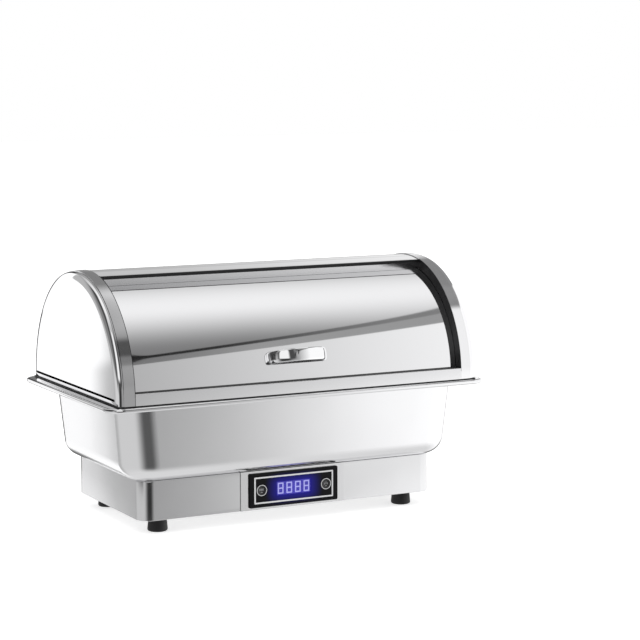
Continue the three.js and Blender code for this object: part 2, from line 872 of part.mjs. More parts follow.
// Power inlet: a flanged socket through the rear wall, with three pins inside
function powerInlet() {
  const flange = block(
    -inletHalfLength, inletHalfLength, inletFlangeRear, inletFace, -inletHalfHeight, inletHalfHeight,
  );
  const body = block(
    -inletBodyHalfLength, inletBodyHalfLength, inletEnd, inletFace, -inletBodyHalfHeight, inletBodyHalfHeight,
  );
  const floor = inletFace - socketDepth;
  const socket = block(
    -socketHalfLength, socketHalfLength, floor, inletFace + overrun, -socketHalfHeight, socketHalfHeight,
  );
  const screwHoles = [-1, 1].map((side) => rodY(
    inletScrewShank + screwClearance, inletFlangeRear - overrun, inletFace + overrun,
    side * inletScrewSpacing, 0, smallSides,
  ));
  const pins = [-1, 0, 1].map((side) => block(
    side * socketPinSpacing - socketPinHalfWidth, side * socketPinSpacing + socketPinHalfWidth,
    floor - overrun, floor + socketPinLength,
    (side === 0 ? 1 : -1) * socketPinDrop - socketPinHalfHeight,
    (side === 0 ? 1 : -1) * socketPinDrop + socketPinHalfHeight,
  ));
  return join(cut(join(flange, body), socket, ...screwHoles), ...pins);
}

function inletScrew() {
  const headUnder = inletFace + fitGap;
  const tip = baseRear - baseSheet - inletScrewReach;
  const head = rodY(inletScrewHead, headUnder, headUnder + inletScrewHeadHeight, 0, 0, smallSides);
  return join(head, rodY(inletScrewShank, tip, headUnder + inletScrewHeadHeight / 2, 0, 0, smallSides));
}

place('power_inlet', powerInlet(), blackPlastic).position.set(inletX, 0, panelMiddle);
for (const [end, side] of [['left', -1], ['right', 1]]) {
  const screw = place(`inlet_screw_${end}`, inletScrew(), satinSteel);
  screw.position.set(inletX + side * inletScrewSpacing, 0, panelMiddle);
}

// Terminal block on the bottom plate, the lead from the inlet and the loom to the circuit board
const terminalBottom = baseBottom + bottomSheet + fitGap;
const terminalY = baseHalfY - terminalInset;

function terminalBlock() {
  const body = block(
    -terminalHalfLength, terminalHalfLength, -terminalHalfWidth, terminalHalfWidth, 0, terminalHeight,
  );
  const slots = [-1, 0, 1].map((pole) => {
    const x = pole * terminalHalfLength * 2 / 3;
    return block(
      x - terminalSlotWidth, x + terminalSlotWidth,
      -terminalHalfWidth / 2, terminalHalfWidth / 2,
      terminalHeight - terminalSlotDepth, terminalHeight + overrun,
    );
  });
  return cut(body, ...slots);
}

place('terminal_block', terminalBlock(), paleNylon).position.set(inletX, terminalY, terminalBottom);

function smoothPath(points) {
  return new THREE.CatmullRomCurve3(points.map((point) => new THREE.Vector3(...point)));
}

const leadLevel = terminalBottom + terminalHeight / 2;
const terminalRear = terminalY + terminalHalfWidth;
const leadPath = smoothPath([
  [inletX, inletEnd - fitGap, panelMiddle],
  [inletX, inletEnd - fitGap - leadRadius, panelMiddle],
  [inletX, (inletEnd + terminalRear) / 2, (panelMiddle + leadLevel) / 2],
  [inletX, terminalRear + fitGap + leadRadius, leadLevel],
  [inletX, terminalRear + fitGap, leadLevel],
]);
const terminalFront = terminalY - terminalHalfWidth;
const boardRear = boardFront + boardSheet;
const loomX = panelOffset + loomSide;
const loomPath = smoothPath([
  [inletX, terminalFront - fitGap, leadLevel],
  [inletX, terminalFront - fitGap - loomRadius * 3, leadLevel],
  [inletX, (terminalFront + boardRear) / 2, leadLevel],
  [(inletX + loomX) / 2, boardRear + loomRadius * 8, leadLevel],
  [loomX, boardRear + fitGap + loomRadius * 4, panelMiddle],
  [loomX, boardRear + fitGap, panelMiddle],
]);
place('inlet_lead', roundTube(leadPath, leadRadius, bendSteps * 2), blackCable);
place('control_loom', roundTube(loomPath, loomRadius, tubeSteps / 2), blackCable);

// Arch cover: everything from here on lifts off the flange together
const capFaceX = flangeHalfX - capSetback;
const bandOuterX = capFaceX - shoulderWidth;
const bandInnerX = bandOuterX - bandWidth;
const bandInnerRadius = archRadius - coverSheet;
const rearOuterRadius = bandInnerRadius - fitGap;
const rearInnerRadius = rearOuterRadius - rearSheet;
const lidOuterRadius = archRadius - lidSink;
const lidInnerRadius = lidOuterRadius - lidSheet;
const sillLedge = lidSink + lidSheet + sillLedgeMargin;

// Angles go up from the front: 0 is level with the pivot, 90 is the top
const radians = THREE.MathUtils.degToRad;
const lidFront = Math.asin((sillTop + fitGap - archCentre) / lidInnerRadius);
const lidRear = radians(lidRearAngle);
const rearStart = radians(rearFrontAngle);
const rearEnd = Math.PI - Math.asin((sillTop + fitGap - archCentre) / rearInnerRadius);

// A shape angle of pi points to the front, so an angle from the front is taken off pi
function arcBand(outline, inner, outer, from, to) {
  outline.absarc(0, archCentre, outer, Math.PI - from, Math.PI - to, true);
  outline.absarc(0, archCentre, inner, Math.PI - to, Math.PI - from, false);
  return outline;
}

function archBand() {
  const outline = new THREE.Shape();
  outline.moveTo(-archRadius, coverFoot);
  outline.lineTo(-archRadius, archCentre);
  outline.absarc(0, archCentre, archRadius, Math.PI, 0, true);
  outline.lineTo(archRadius, coverFoot);
  outline.lineTo(bandInnerRadius, coverFoot);
  outline.lineTo(bandInnerRadius, archCentre);
  outline.absarc(0, archCentre, bandInnerRadius, 0, Math.PI, false);
  outline.lineTo(-bandInnerRadius, coverFoot);
  return slabX(outline, bandInnerX, bandOuterX);
}

// An upright ring in the outline of the arch, flat along the bottom
function archRing(x, radius, foot) {
  const ring = [new THREE.Vector3(x, -radius, foot)];
  for (let step = 0; step <= archSteps; step += 1) {
    const angle = (step / archSteps) * Math.PI;
    ring.push(new THREE.Vector3(x, -radius * Math.cos(angle), archCentre + radius * Math.sin(angle)));
  }
  ring.push(new THREE.Vector3(x, radius, foot));
  return ring;
}

function shoulderRings(inset) {
  const seamX = bandOuterX + fitGap;
  const rings = [];
  for (let step = 0; step <= bendSteps; step += 1) {
    const angle = (step / bendSteps) * Math.PI / 2;
    const x = seamX + (capFaceX - inset - seamX) * Math.sin(angle);
    const radius = archRadius - inset - shoulderDrop * (1 - Math.cos(angle));
    rings.push(archRing(x, radius, coverFoot + inset));
  }
  return rings;
}

// End cap: a dished plate with a soft shoulder, open towards the inside
function endCap() {
  const outside = shoulderRings(0);
  const inside = shoulderRings(coverSheet);
  return skin([...outside.toReversed(), ...inside], false);
}

// Front sill: a wall with a ledge for the lid above and a foot on the flange below
function frontSill() {
  const face = -archRadius;
  const outline = new THREE.Shape();
  outline.moveTo(face, coverFoot);
  outline.lineTo(face + sillFoot, coverFoot);
  outline.lineTo(face + sillFoot, coverFoot + coverSheet);
  outline.lineTo(face + coverSheet, coverFoot + coverSheet);
  outline.lineTo(face + coverSheet, sillTop - coverSheet);
  outline.lineTo(face + sillLedge, sillTop - coverSheet);
  outline.lineTo(face + sillLedge, sillTop);
  outline.lineTo(face, sillTop);
  outline.closePath();
  const sillHalf = bandInnerX - fitGap;
  return slabX(outline, -sillHalf, sillHalf);
}

// Fixed rear cover: a curved sheet tucked under both bands, with a lip turned down at its front edge
function rearCover() {
  const lipEnd = rearStart + rearSheet / rearInnerRadius;
  const lipRadius = lidOuterRadius + rearLipGap;
  const outline = new THREE.Shape();
  outline.absarc(0, archCentre, rearOuterRadius, Math.PI - rearEnd, Math.PI - rearStart, false);
  const start = Math.PI - rearStart;
  const finish = Math.PI - lipEnd;
  outline.lineTo(lipRadius * Math.cos(start), archCentre + lipRadius * Math.sin(start));
  outline.lineTo(lipRadius * Math.cos(finish), archCentre + lipRadius * Math.sin(finish));
  outline.absarc(0, archCentre, rearInnerRadius, finish, Math.PI - rearEnd, true);
  const half = bandInnerX + rearEndTuck;
  return slabX(outline, -half, half);
}

// Guide strip: dark rubber that fills the step between the lid and a band
function guideStrip() {
  const inner = lidOuterRadius + stripRunningGap;
  const end = rearStart - fitGap / inner;
  const outline = arcBand(new THREE.Shape(), inner, rearOuterRadius, radians(stripEndAngle), end);
  return slabX(outline, bandInnerX + fitGap, bandInnerX + fitGap + stripWidth);
}

// Hinge places along X, from the lid's arm outwards to the end cap
const armInnerX = bandInnerX + armTuck;
const armOuterX = armInnerX + armSheet;
const bushInnerX = armOuterX + fitGap;
const bushOuterX = bushInnerX + bushLength;
const bracketInnerX = bushOuterX + fitGap;
const bracketOuterX = capFaceX - coverSheet - fitGap;
const pinBore = pinRadius + fitGap;

function pivotBracket() {
  const body = block(
    bracketInnerX, bracketOuterX, -bracketHalf, bracketHalf,
    coverFoot + coverSheet + fitGap, archCentre + bracketRise,
  );
  return cut(body, rodX(pinBore, bracketInnerX - overrun, bracketOuterX + overrun, 0, archCentre));
}

function pivotPin() {
  const headX = armInnerX - fitGap;
  const shank = rodX(pinRadius, headX - pinHeadHeight / 2, bracketOuterX - pinEndGap, 0, archCentre);
  return join(rodX(pinHeadRadius, headX - pinHeadHeight, headX, 0, archCentre), shank);
}

function pivotBush() {
  const ring = rodX(bushRadius, bushInnerX, bushOuterX, 0, archCentre);
  return cut(ring, rodX(pinBore, bushInnerX - overrun, bushOuterX + overrun, 0, archCentre));
}

// Lid arm: a fan-shaped plate from the pivot to the lid's end, closing the side of the lid
function lidArm() {
  const rim = lidInnerRadius - fitGap;
  const outline = new THREE.Shape();
  outline.absarc(0, archCentre, rim, Math.PI - lidFront, Math.PI - lidRear, true);
  outline.absarc(0, archCentre, hubRadius, Math.PI / 2 - lidRear, -Math.PI / 2 - lidFront, true);
  const hole = new THREE.Path();
  hole.absarc(0, archCentre, pinBore, 0, 2 * Math.PI, false);
  outline.holes.push(hole);
  return slabX(outline, armInnerX, armOuterX);
}

const ends = [
  ['right', (geometry) => geometry],
  ['left', mirroredX],
];
for (const [end, turn] of ends) {
  place(`arch_band_${end}`, turn(archBand()), steel);
  place(`end_cap_${end}`, turn(endCap()), steel);
  place(`guide_strip_${end}`, turn(guideStrip()), blackRubber);
  place(`pivot_bracket_${end}`, turn(pivotBracket()), satinSteel);
  place(`pivot_pin_${end}`, turn(pivotPin()), satinSteel);
  place(`pivot_bush_${end}`, turn(pivotBush()), paleNylon);
  place(`lid_arm_${end}`, turn(lidArm()), satinSteel);
}
place('front_sill', frontSill(), steel);
place('rear_sill', frontSill().rotateZ(Math.PI), steel);
place('rear_cover', rearCover(), steel);

// Lid: a thin curved sheet that runs under both bands and under the rear cover
const handleScrewSpread = handleLength / 2 - handleLeg / 2;

function radialRod(radius, inner, outer, x) {
  const rod = rodY(radius, -outer, -inner, x, 0, smallSides);
  return rod.rotateX(-radians(handleAngle)).translate(0, 0, archCentre);
}

function lidShell() {
  const outline = arcBand(new THREE.Shape(), lidInnerRadius, lidOuterRadius, lidFront, lidRear);
  const half = bandInnerX + lidEndTuck;
  const holes = [-1, 1].map((side) => radialRod(
    handleScrewShank + screwClearance, lidInnerRadius - overrun, lidOuterRadius + overrun,
    handleOffset + side * handleScrewSpread,
  ));
  return cut(slabX(outline, -half, half), ...holes);
}

place('lid_shell', lidShell(), steel);

// Lid handle: a bowed strap on two legs, drawn flat with Y towards the pivot's far side
const handleGroup = new THREE.Group();
handleGroup.position.set(handleOffset, 0, archCentre);
handleGroup.rotation.x = -radians(handleAngle);
dish.add(handleGroup);

function lidHandle() {
  const half = handleLength / 2;
  const inside = half - handleLeg;
  const innerRound = handleRound - handleStrap;
  const foot = lidOuterRadius + fitGap;
  const top = lidOuterRadius + handleHeight;
  const under = top - handleStrap;
  const outline = new THREE.Shape();
  outline.moveTo(-half, foot);
  outline.absarc(-half + handleRound, top - handleRound, handleRound, Math.PI, Math.PI / 2, true);
  outline.absarc(half - handleRound, top - handleRound, handleRound, Math.PI / 2, 0, true);
  outline.lineTo(half, foot);
  outline.lineTo(inside, foot);
  outline.absarc(inside - innerRound, under - innerRound, innerRound, 0, Math.PI / 2, false);
  outline.absarc(-inside + innerRound, under - innerRound, innerRound, Math.PI / 2, Math.PI, false);
  outline.lineTo(-inside, foot);
  outline.closePath();
  const strap = new THREE.ExtrudeGeometry(outline, {
    depth: handleWidth, bevelEnabled: false, curveSegments: cornerSteps,
  });
  strap.rotateX(Math.PI).translate(0, 0, handleWidth / 2);
  const bores = [-1, 1].map((side) => rodY(
    handleScrewShank + screwClearance, -foot - handleBoreDepth, -foot + overrun,
    side * handleScrewSpread, 0, smallSides,
  ));
  return cut(strap, ...bores);
}

function handleScrew() {
  const headTop = lidInnerRadius - fitGap;
  const tip = lidOuterRadius + handleScrewReach;
  const head = rodY(handleScrewHead, -headTop, -headTop + handleScrewHeadHeight, 0, 0, smallSides);
  const shank = rodY(handleScrewShank, -tip, -headTop + handleScrewHeadHeight / 2, 0, 0, smallSides);
  return join(head, shank);
}

place('lid_handle', lidHandle(), steel, handleGroup);
place('handle_screw_left', handleScrew(), satinSteel, handleGroup).position.x = -handleScrewSpread;
place('handle_screw_right', handleScrew(), satinSteel, handleGroup).position.x = handleScrewSpread;

export default dish;
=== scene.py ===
"""Looks of an electric chafing dish with a roll-top lid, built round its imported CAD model.

Metres, +Z up, front towards -Y, length along X, floor at zero.
"""

import math

import bmesh
import bpy
from mathutils import Matrix, Vector


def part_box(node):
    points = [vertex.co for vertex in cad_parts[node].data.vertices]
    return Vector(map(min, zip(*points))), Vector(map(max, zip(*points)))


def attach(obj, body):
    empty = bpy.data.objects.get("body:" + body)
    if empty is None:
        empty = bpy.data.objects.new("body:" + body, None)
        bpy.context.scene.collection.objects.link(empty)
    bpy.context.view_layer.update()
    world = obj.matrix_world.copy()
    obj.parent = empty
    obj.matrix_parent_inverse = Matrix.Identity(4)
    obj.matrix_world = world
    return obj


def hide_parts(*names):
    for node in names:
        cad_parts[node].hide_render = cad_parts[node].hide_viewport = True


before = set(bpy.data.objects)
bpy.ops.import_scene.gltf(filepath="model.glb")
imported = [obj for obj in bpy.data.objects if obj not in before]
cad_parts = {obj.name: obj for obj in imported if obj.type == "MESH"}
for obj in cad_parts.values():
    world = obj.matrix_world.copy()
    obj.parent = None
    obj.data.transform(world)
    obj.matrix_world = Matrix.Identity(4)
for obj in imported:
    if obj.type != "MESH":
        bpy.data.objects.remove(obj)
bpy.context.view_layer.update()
scene = bpy.context.scene
scene.view_settings.view_transform = "Standard"


# Camera
# A long lens stands well back to the left of the dish and looks a little down on it,
# as the photograph does.
camera_place = Vector((-1.4224, -2.9636, 0.7052))
camera_yaw = math.radians(-27.41)
camera_pitch = math.radians(7.26)
camera_roll = math.radians(-0.10)
back = Vector((
    math.sin(camera_yaw) * math.cos(camera_pitch),
    -math.cos(camera_yaw) * math.cos(camera_pitch),
    math.sin(camera_pitch),
))
level_right = Vector((math.cos(camera_yaw), math.sin(camera_yaw), 0))
level_up = back.cross(level_right)
right = level_right * math.cos(camera_roll) + level_up * math.sin(camera_roll)
up = back.cross(right)
lens = bpy.data.cameras.new("camera")
lens.sensor_width = 36
lens.lens = 121.93
lens.clip_start = 0.05
lens.clip_end = 60
camera = bpy.data.objects.new("camera", lens)
scene.collection.objects.link(camera)
camera.matrix_world = Matrix.Translation(camera_place) @ Matrix((right, up, back)).transposed().to_4x4()
scene.camera = camera


# Studio
# A white sweep runs round the dish. Two long soft panels hang over it, a dark room lies behind
# the camera, and grey flags stand at both sides, so that polished steel has tones to show.
class Wire:
    """A value in a node tree. Operators on it add Math nodes, and add() makes any other node."""

    def __init__(self, tree, socket=None):
        self.tree = tree
        self.socket = socket

    def add(self, kind, settings=None, inputs=None, output=0):
        node = self.tree.nodes.new(kind)
        for name, value in (settings or {}).items():
            setattr(node, name, value)
        for name, value in (inputs or {}).items():
            self.feed(node.inputs[name], value)
        return Wire(self.tree, node.outputs[output])

    def feed(self, socket, value):
        if isinstance(value, Wire):
            self.tree.links.new(value.socket, socket)
        else:
            socket.default_value = value

    def maths(self, operation, first, second=0.0):
        return self.add("ShaderNodeMath", {"operation": operation}, {0: first, 1: second})

    def __add__(self, other):
        return self.maths("ADD", self, other)

    def __sub__(self, other):
        return self.maths("SUBTRACT", self, other)

    def __mul__(self, other):
        return self.maths("MULTIPLY", self, other)

    def __rsub__(self, other):
        return self.maths("SUBTRACT", other, self)

    def __abs__(self):
        return self.maths("ABSOLUTE", self)

    __radd__ = __add__
    __rmul__ = __mul__

    def rise(self, low, high):
        """0 below low, 1 above high, and a smooth step between. low may be the greater one."""
        steps = {"interpolation_type": "SMOOTHSTEP"}
        return self.add("ShaderNodeMapRange", steps, {"Value": self, 1: low, 2: high})

    def parts(self):
        node = self.tree.nodes.new("ShaderNodeSeparateXYZ")
        self.feed(node.inputs[0], self)
        return [Wire(self.tree, socket) for socket in node.outputs]

    def blend(self, other, share):
        """This value where share is 0, and other where it is 1."""
        return self + (other - self) * share


world = bpy.data.worlds.new("studio")
scene.world = world
world.use_nodes = True
world.node_tree.nodes.clear()
sky = Wire(world.node_tree)
direction = sky.add("ShaderNodeTexCoord")
across, away, height = direction.parts()

# Directions in degrees: over runs from the front horizon up and back, heading runs from the
# front to the right, and lift is the height above the horizon
degree = 180 / math.pi
over = sky.maths("ARCTAN2", height, away * -1) * degree
heading = sky.maths("ARCTAN2", across, away * -1) * degree
lift = sky.maths("ARCSINE", height) * degree

# The overhead panels, brightest straight above, with a darker gap between the two
front_fade = 40 - 12 * across.rise(0.42, 0.51)
panel = over.rise(front_fade, 94) * over.rise(176, 96)
gap_left = across - height * 0.20
gap_right = height * 0.36 - across
gap = gap_left.rise(-0.03, 0.03) * gap_right.rise(-0.03, 0.03)
ceiling = (0.22 + panel * 0.72) * (1 - gap * 0.55)

# The walls near the horizon: white at the left, grey at the right, with the dark room between
left_wall = 0.66 - 0.18 * heading.rise(-128, -148)
wall_corner = heading + 0.27 * lift.rise(-8.15, -8.60) * lift.rise(-10.3, -9.5)
left_wall = left_wall.blend(1.12, wall_corner.rise(-157.9, -158.5))
right_wall = 0.41 + (0.62 + 0.15 * lift.rise(0, -12)) * across.rise(0.33, 0.565)
dark_room = heading.rise(-62, -24) * heading.rise(24, -6)
dark_level = 0.10 - 0.07 * lift.rise(-15, -12.5)
wall = left_wall.blend(right_wall, heading.rise(-30, 0)).blend(dark_level, dark_room)

# A grey flag far behind the dish and a black one beside it, which draw thin outlines on its edges
behind = across * 0.43 + away * 0.89 - height * 0.13
behind_level = 0.30 - 0.27 * across.rise(0.500, 0.515)
behind_flag = behind.rise(0.90, 0.95) * lift.rise(5, 0) * lift.rise(-17, -13)
wall = wall.blend(behind_level, behind_flag)
flag_start = -0.29 + 0.17 * (lift.rise(-8.8, -10.5) + lift.rise(-6.3, -4)) + 0.22 * lift.rise(-13, -16)
outline_flag = (across - flag_start).rise(-0.02, 0.02) * across.rise(0.34, 0.26) * away.rise(0.90, 0.93)
under_flag = away.rise(0.40, 0.60) * lift.rise(-14, -20) * across.rise(0.37, 0.385)

# A grey flag on the left, and another high on the right that comes down behind the dish
left_flag = heading.rise(-52, -75) * heading.rise(-152, -136) * lift.rise(-5, 0) * lift.rise(76, 64)
left_flag_level = 0.22 - 0.15 * heading.rise(-125, -105) * lift.rise(20, 14) - 0.15 * lift.rise(12, 20)
right_flag_edge = 48.5 - 34 * heading.rise(96, 130)
right_flag = (lift - right_flag_edge).rise(-2, 2) * heading.rise(30, 44)
wall = wall.blend(0.27, right_flag)

# The near panel ends on the right in a thin dark edge with a grey frame beside it, and a paler
# panel hangs behind it
edge = across + away * 0.080 - height * 0.605
frame_edge = across + away * 0.117 - height * 0.661
far_side = over.rise(90, 97) * across.rise(0.520, 0.509)
overhead = sky.maths("MAXIMUM", edge.rise(0.004, -0.004), far_side)
high = lift.rise(10, 30)
light = wall.blend(ceiling, overhead * high)
near_side = over.rise(97, 90)
left_end = across.rise(0.357, 0.347) * across.rise(0.27, 0.29)
right_end = near_side * (1 - left_end)
frame_share = edge.rise(-0.003, 0.003) * frame_edge.rise(0.003, -0.003) * lift.rise(12, 20) * right_end
light = light.blend(0.20 + 0.13 * across.rise(0.385, 0.44), frame_share)
edge_width = 0.010 + 0.060 * across.rise(0.385, 0.366)
line_share = (edge_width - abs(edge)).rise(-0.003, 0.003) * lift.rise(14, 22) * heading.rise(8, 16)
light = light.blend(0.02 + 0.20 * across.rise(0.40, 0.50), line_share * right_end)
rear_panel = over.rise(144, 150) * across.rise(0.355, 0.365) * across.rise(0.522, 0.507)
light = light.blend(0.58 + 0.30 * across.rise(0.38, 0.50), rear_panel * behind.rise(0.95, 0.90))

# What the left band and the handle mirror: two grey stretches, the left flag, and a dark
# ceiling over the camera with a bright window in it
light = light.blend(0.09, left_end * over.rise(33, 37) * over.rise(56, 48))
light = light.blend(0.24, left_end * over.rise(104, 128))
light = light.blend(left_flag_level, left_flag)
dark_high = heading.rise(-66, -40) * heading.rise(20, 12) * lift.rise(62, 44) * lift.rise(2, 8)
light = light.blend(0.07, dark_high)
high_window = heading.rise(-46, -38) * heading.rise(4, -4) * lift.rise(8, 14) * lift.rise(62, 56)
light = light.blend(0.95, high_window)
below = lift.rise(-25, -60)
light = light.blend(0.75, below)
light = light.blend(0.10, under_flag)
light = light.blend(0.04, outline_flag)

seen = sky.add("ShaderNodeLightPath", output="Is Camera Ray")
mirrored = sky.add("ShaderNodeLightPath", output="Is Glossy Ray")
through = sky.add("ShaderNodeLightPath", output="Is Transmission Ray")
studio = sky.add("ShaderNodeBackground", inputs={"Color": (1, 1, 1, 1), "Strength": light})
plain = sky.add("ShaderNodeBackground", inputs={"Color": (1, 1, 1, 1), "Strength": 0.85})
white = sky.add("ShaderNodeBackground", inputs={"Color": (1, 1, 1, 1), "Strength": 1.0})
lit = sky.add("ShaderNodeMixShader", inputs={0: mirrored, 1: plain, 2: studio})
shown = sky.add("ShaderNodeMixShader", inputs={0: sky.maths("MAXIMUM", seen, through), 1: lit, 2: white})
sky.feed(world.node_tree.nodes.new("ShaderNodeOutputWorld").inputs["Surface"], shown)

# A soft lamp overhead, which the steel does not mirror, for the shadow under the dish
lamp = bpy.data.lights.new("overhead", "AREA")
lamp.shape = "RECTANGLE"
lamp.size = 2.4
lamp.size_y = 1.6
lamp.energy = 14
overhead_lamp = bpy.data.objects.new("overhead", lamp)
scene.collection.objects.link(overhead_lamp)
overhead_lamp.location = (-0.3, -0.5, 2.2)
overhead_lamp.rotation_euler = (0.22, -0.13, 0)
overhead_lamp.visible_glossy = False

# The floor is a plain white sheet, bright enough to merge with the background
floor_half = 12
floor_corners = [(x * floor_half, y * floor_half, 0) for x, y in ((-1, -1), (1, -1), (1, 1), (-1, 1))]
floor_mesh = bpy.data.meshes.new("floor")
floor_mesh.from_pydata(floor_corners, [], [(0, 1, 2, 3)])
floor = bpy.data.objects.new("floor", floor_mesh)
scene.collection.objects.link(floor)
floor.visible_glossy = False
floor_material = bpy.data.materials.new("floor")
floor_material.use_nodes = True
floor_material.node_tree.nodes.clear()
paper = Wire(floor_material.node_tree)
sheet = paper.add("ShaderNodeBsdfDiffuse", inputs={"Color": (0.8, 0.8, 0.8, 1)})
glow = paper.add("ShaderNodeEmission", inputs={"Color": (1, 1, 1, 1), "Strength": 0.60})
lifted = paper.add("ShaderNodeAddShader", inputs={0: sheet, 1: glow})
camera_ray = paper.add("ShaderNodeLightPath", output="Is Camera Ray")
floor_look = paper.add("ShaderNodeMixShader", inputs={0: camera_ray, 1: sheet, 2: lifted})
paper.feed(floor_material.node_tree.nodes.new("ShaderNodeOutputMaterial").inputs["Surface"], floor_look)
floor_mesh.materials.append(floor_material)


# Top flange of the water bath
# One frame of polished stainless sheet round the pan's opening. Its edge is rolled over and
# turned down into a lip, and the cover stands on it.
def surface(name, **fixed):
    """A new material, a wire to build its graph with, and its shader."""
    material = bpy.data.materials.new(name)
    material.use_nodes = True
    shader = material.node_tree.nodes["Principled BSDF"]
    for socket, value in fixed.items():
        shader.inputs[socket.replace("_", " ")].default_value = value
    return material, Wire(material.node_tree), shader


def steel(name, tone, roughness, grain=(1, 1, 1), grain_depth=0.0, haze=0.03):
    """Stainless steel with a fine grain, stretched along one axis, and faint wiping marks."""
    material, wire, shader = surface(name, Metallic=1.0)
    place = wire.add("ShaderNodeTexCoord", output="Object")
    stretch = wire.add("ShaderNodeVectorMath", {"operation": "MULTIPLY"}, {0: place, 1: grain})
    fine = wire.add("ShaderNodeTexNoise", inputs={"Vector": stretch, "Scale": 900.0, "Detail": 3.0})
    wiping = {"Vector": place, "Scale": 9.0, "Detail": 5.0, "Distortion": 0.6}
    marks = wire.add("ShaderNodeTexNoise", inputs=wiping).rise(0.45, 0.75)
    shade = tone * (0.985 + 0.03 * fine)
    tint = wire.add("ShaderNodeCombineColor", inputs={0: shade, 1: shade, 2: shade * 1.012})
    wire.feed(shader.inputs["Base Color"], tint)
    wire.feed(shader.inputs["Roughness"], roughness + haze * marks + 0.25 * roughness * fine)
    bumps = wire.add("ShaderNodeBump", inputs={"Height": fine * grain_depth, "Distance": 1.0})
    wire.feed(shader.inputs["Normal"], bumps)
    return material


def level_ring(half_x, half_y, radius, height, steps=14):
    """Points round a level rounded rectangle, anticlockwise from its right side."""
    ring = []
    for turn, (side_x, side_y) in enumerate(((1, 1), (-1, 1), (-1, -1), (1, -1))):
        for step in range(steps + 1):
            angle = math.pi / 2 * (turn + step / steps)
            x = side_x * (half_x - radius) + radius * math.cos(angle)
            y = side_y * (half_y - radius) + radius * math.sin(angle)
            ring.append((x, y, height))
    return ring


def skin(name, rings, material, looped=False, capped=False, crease=35):
    """A piece made of rings of points, each ring joined to the next one."""
    shape = bmesh.new()
    loops = [[shape.verts.new(point) for point in ring] for ring in rings]
    pairs = list(zip(loops, loops[1:])) + ([(loops[-1], loops[0])] if looped else [])
    for lower, upper in pairs:
        for step, corner in enumerate(lower):
            after = (step + 1) % len(lower)
            shape.faces.new((corner, lower[after], upper[after], upper[step]))
    if capped:
        shape.faces.new(loops[0])
        shape.faces.new(loops[-1])
    bmesh.ops.remove_doubles(shape, verts=shape.verts, dist=1e-6)
    bmesh.ops.recalc_face_normals(shape, faces=shape.faces)
    mesh = bpy.data.meshes.new(name)
    shape.to_mesh(mesh)
    shape.free()
    mesh.shade_smooth()
    mesh.set_sharp_from_angle(angle=math.radians(crease))
    mesh.materials.append(material)
    piece = bpy.data.objects.new(name, mesh)
    scene.collection.objects.link(piece)
    return piece


def quarter(steps):
    """Sines and cosines through a quarter turn."""
    angles = [math.pi / 2 * step / steps for step in range(steps + 1)]
    return [(math.sin(angle), math.cos(angle)) for angle in angles]


polished = steel("polished steel", 0.88, 0.07, haze=0.02)
flange_low, flange_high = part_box("top_flange")
flange_x, flange_y, flange_top = flange_high
flange_corner = 0.0258
flange_sheet = 0.0015
opening_x, opening_y, opening_corner = 0.255, 0.1525, 0.040
lip_radius = (flange_top - flange_low.z) / 2
lip_steps = 12
flange_rings = [level_ring(opening_x, opening_y, opening_corner, flange_top)]
for step in range(lip_steps + 1):
    angle = math.pi * step / lip_steps
    inward = lip_radius * (1 - math.sin(angle))
    rise = flange_top - lip_radius * (1 - math.cos(angle))
    flange_rings.append(level_ring(flange_x - inward, flange_y - inward, flange_corner - inward, rise))
inner_x = flange_x - lip_radius
inner_y = flange_y - lip_radius
inner_corner = flange_corner - lip_radius
flange_rings += [
    level_ring(inner_x, inner_y, inner_corner, flange_top - flange_sheet),
    level_ring(opening_x, opening_y, opening_corner, flange_top - flange_sheet),
]
flange = skin("flange_frame", flange_rings, polished, looped=True)
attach(flange, "base")
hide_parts("top_flange")


# Water pan
# A deep drawn stainless pan with tapered walls and a large round where they meet the bottom,
# welded under the flange. Its outside is brushed more softly than the cover.
def drawn_pan(name, material, top, low, corner, edge, sheet, bottom, rim_under, rim_width):
    """A pan with a rounded bottom edge, tapered walls and a flat rim turned outwards."""
    def bottom_rings(half_x, half_y, outer, radius, level):
        rings = []
        for sine, cosine in quarter(10):
            inward = radius * (1 - sine)
            rise = level + radius * (1 - cosine)
            rings.append(level_ring(half_x - inward, half_y - inward, outer - inward, rise))
        return rings

    rim_top = rim_under + sheet
    rings = bottom_rings(low[0], low[1], corner, edge, bottom)
    rings += [
        level_ring(top[0], top[1], corner, rim_under - sheet),
        level_ring(top[0] + sheet, top[1] + sheet, corner + sheet, rim_under),
        level_ring(top[0] + rim_width, top[1] + rim_width, corner + rim_width, rim_under),
        level_ring(top[0] + rim_width, top[1] + rim_width, corner + rim_width, rim_top),
        level_ring(top[0] - sheet, top[1] - sheet, corner - sheet, rim_top),
    ]
    inside = bottom_rings(low[0] - sheet, low[1] - sheet, corner - sheet, edge - sheet, bottom + sheet)
    return skin(name, rings + inside[::-1], material, capped=True)


brushed = steel("brushed steel", 0.90, 0.13, grain=(0.05, 0.05, 1), grain_depth=0.000008)
pan_low, pan_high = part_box("water_pan")
pan_rim = 0.005
pan_taper_end = 0.0085
pan_taper_front = 0.0047
pan_sheet = 0.0012
pan_top = (pan_high.x - pan_rim, pan_high.y - pan_rim)
pan_base = (pan_top[0] - pan_taper_end, pan_top[1] - pan_taper_front)
pan = drawn_pan(
    "water_bath", brushed, pan_top, pan_base, corner=0.0466, edge=0.028, sheet=pan_sheet,
    bottom=pan_low.z, rim_under=pan_high.z - pan_sheet, rim_width=pan_rim,
)
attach(pan, "base")
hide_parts("water_pan")


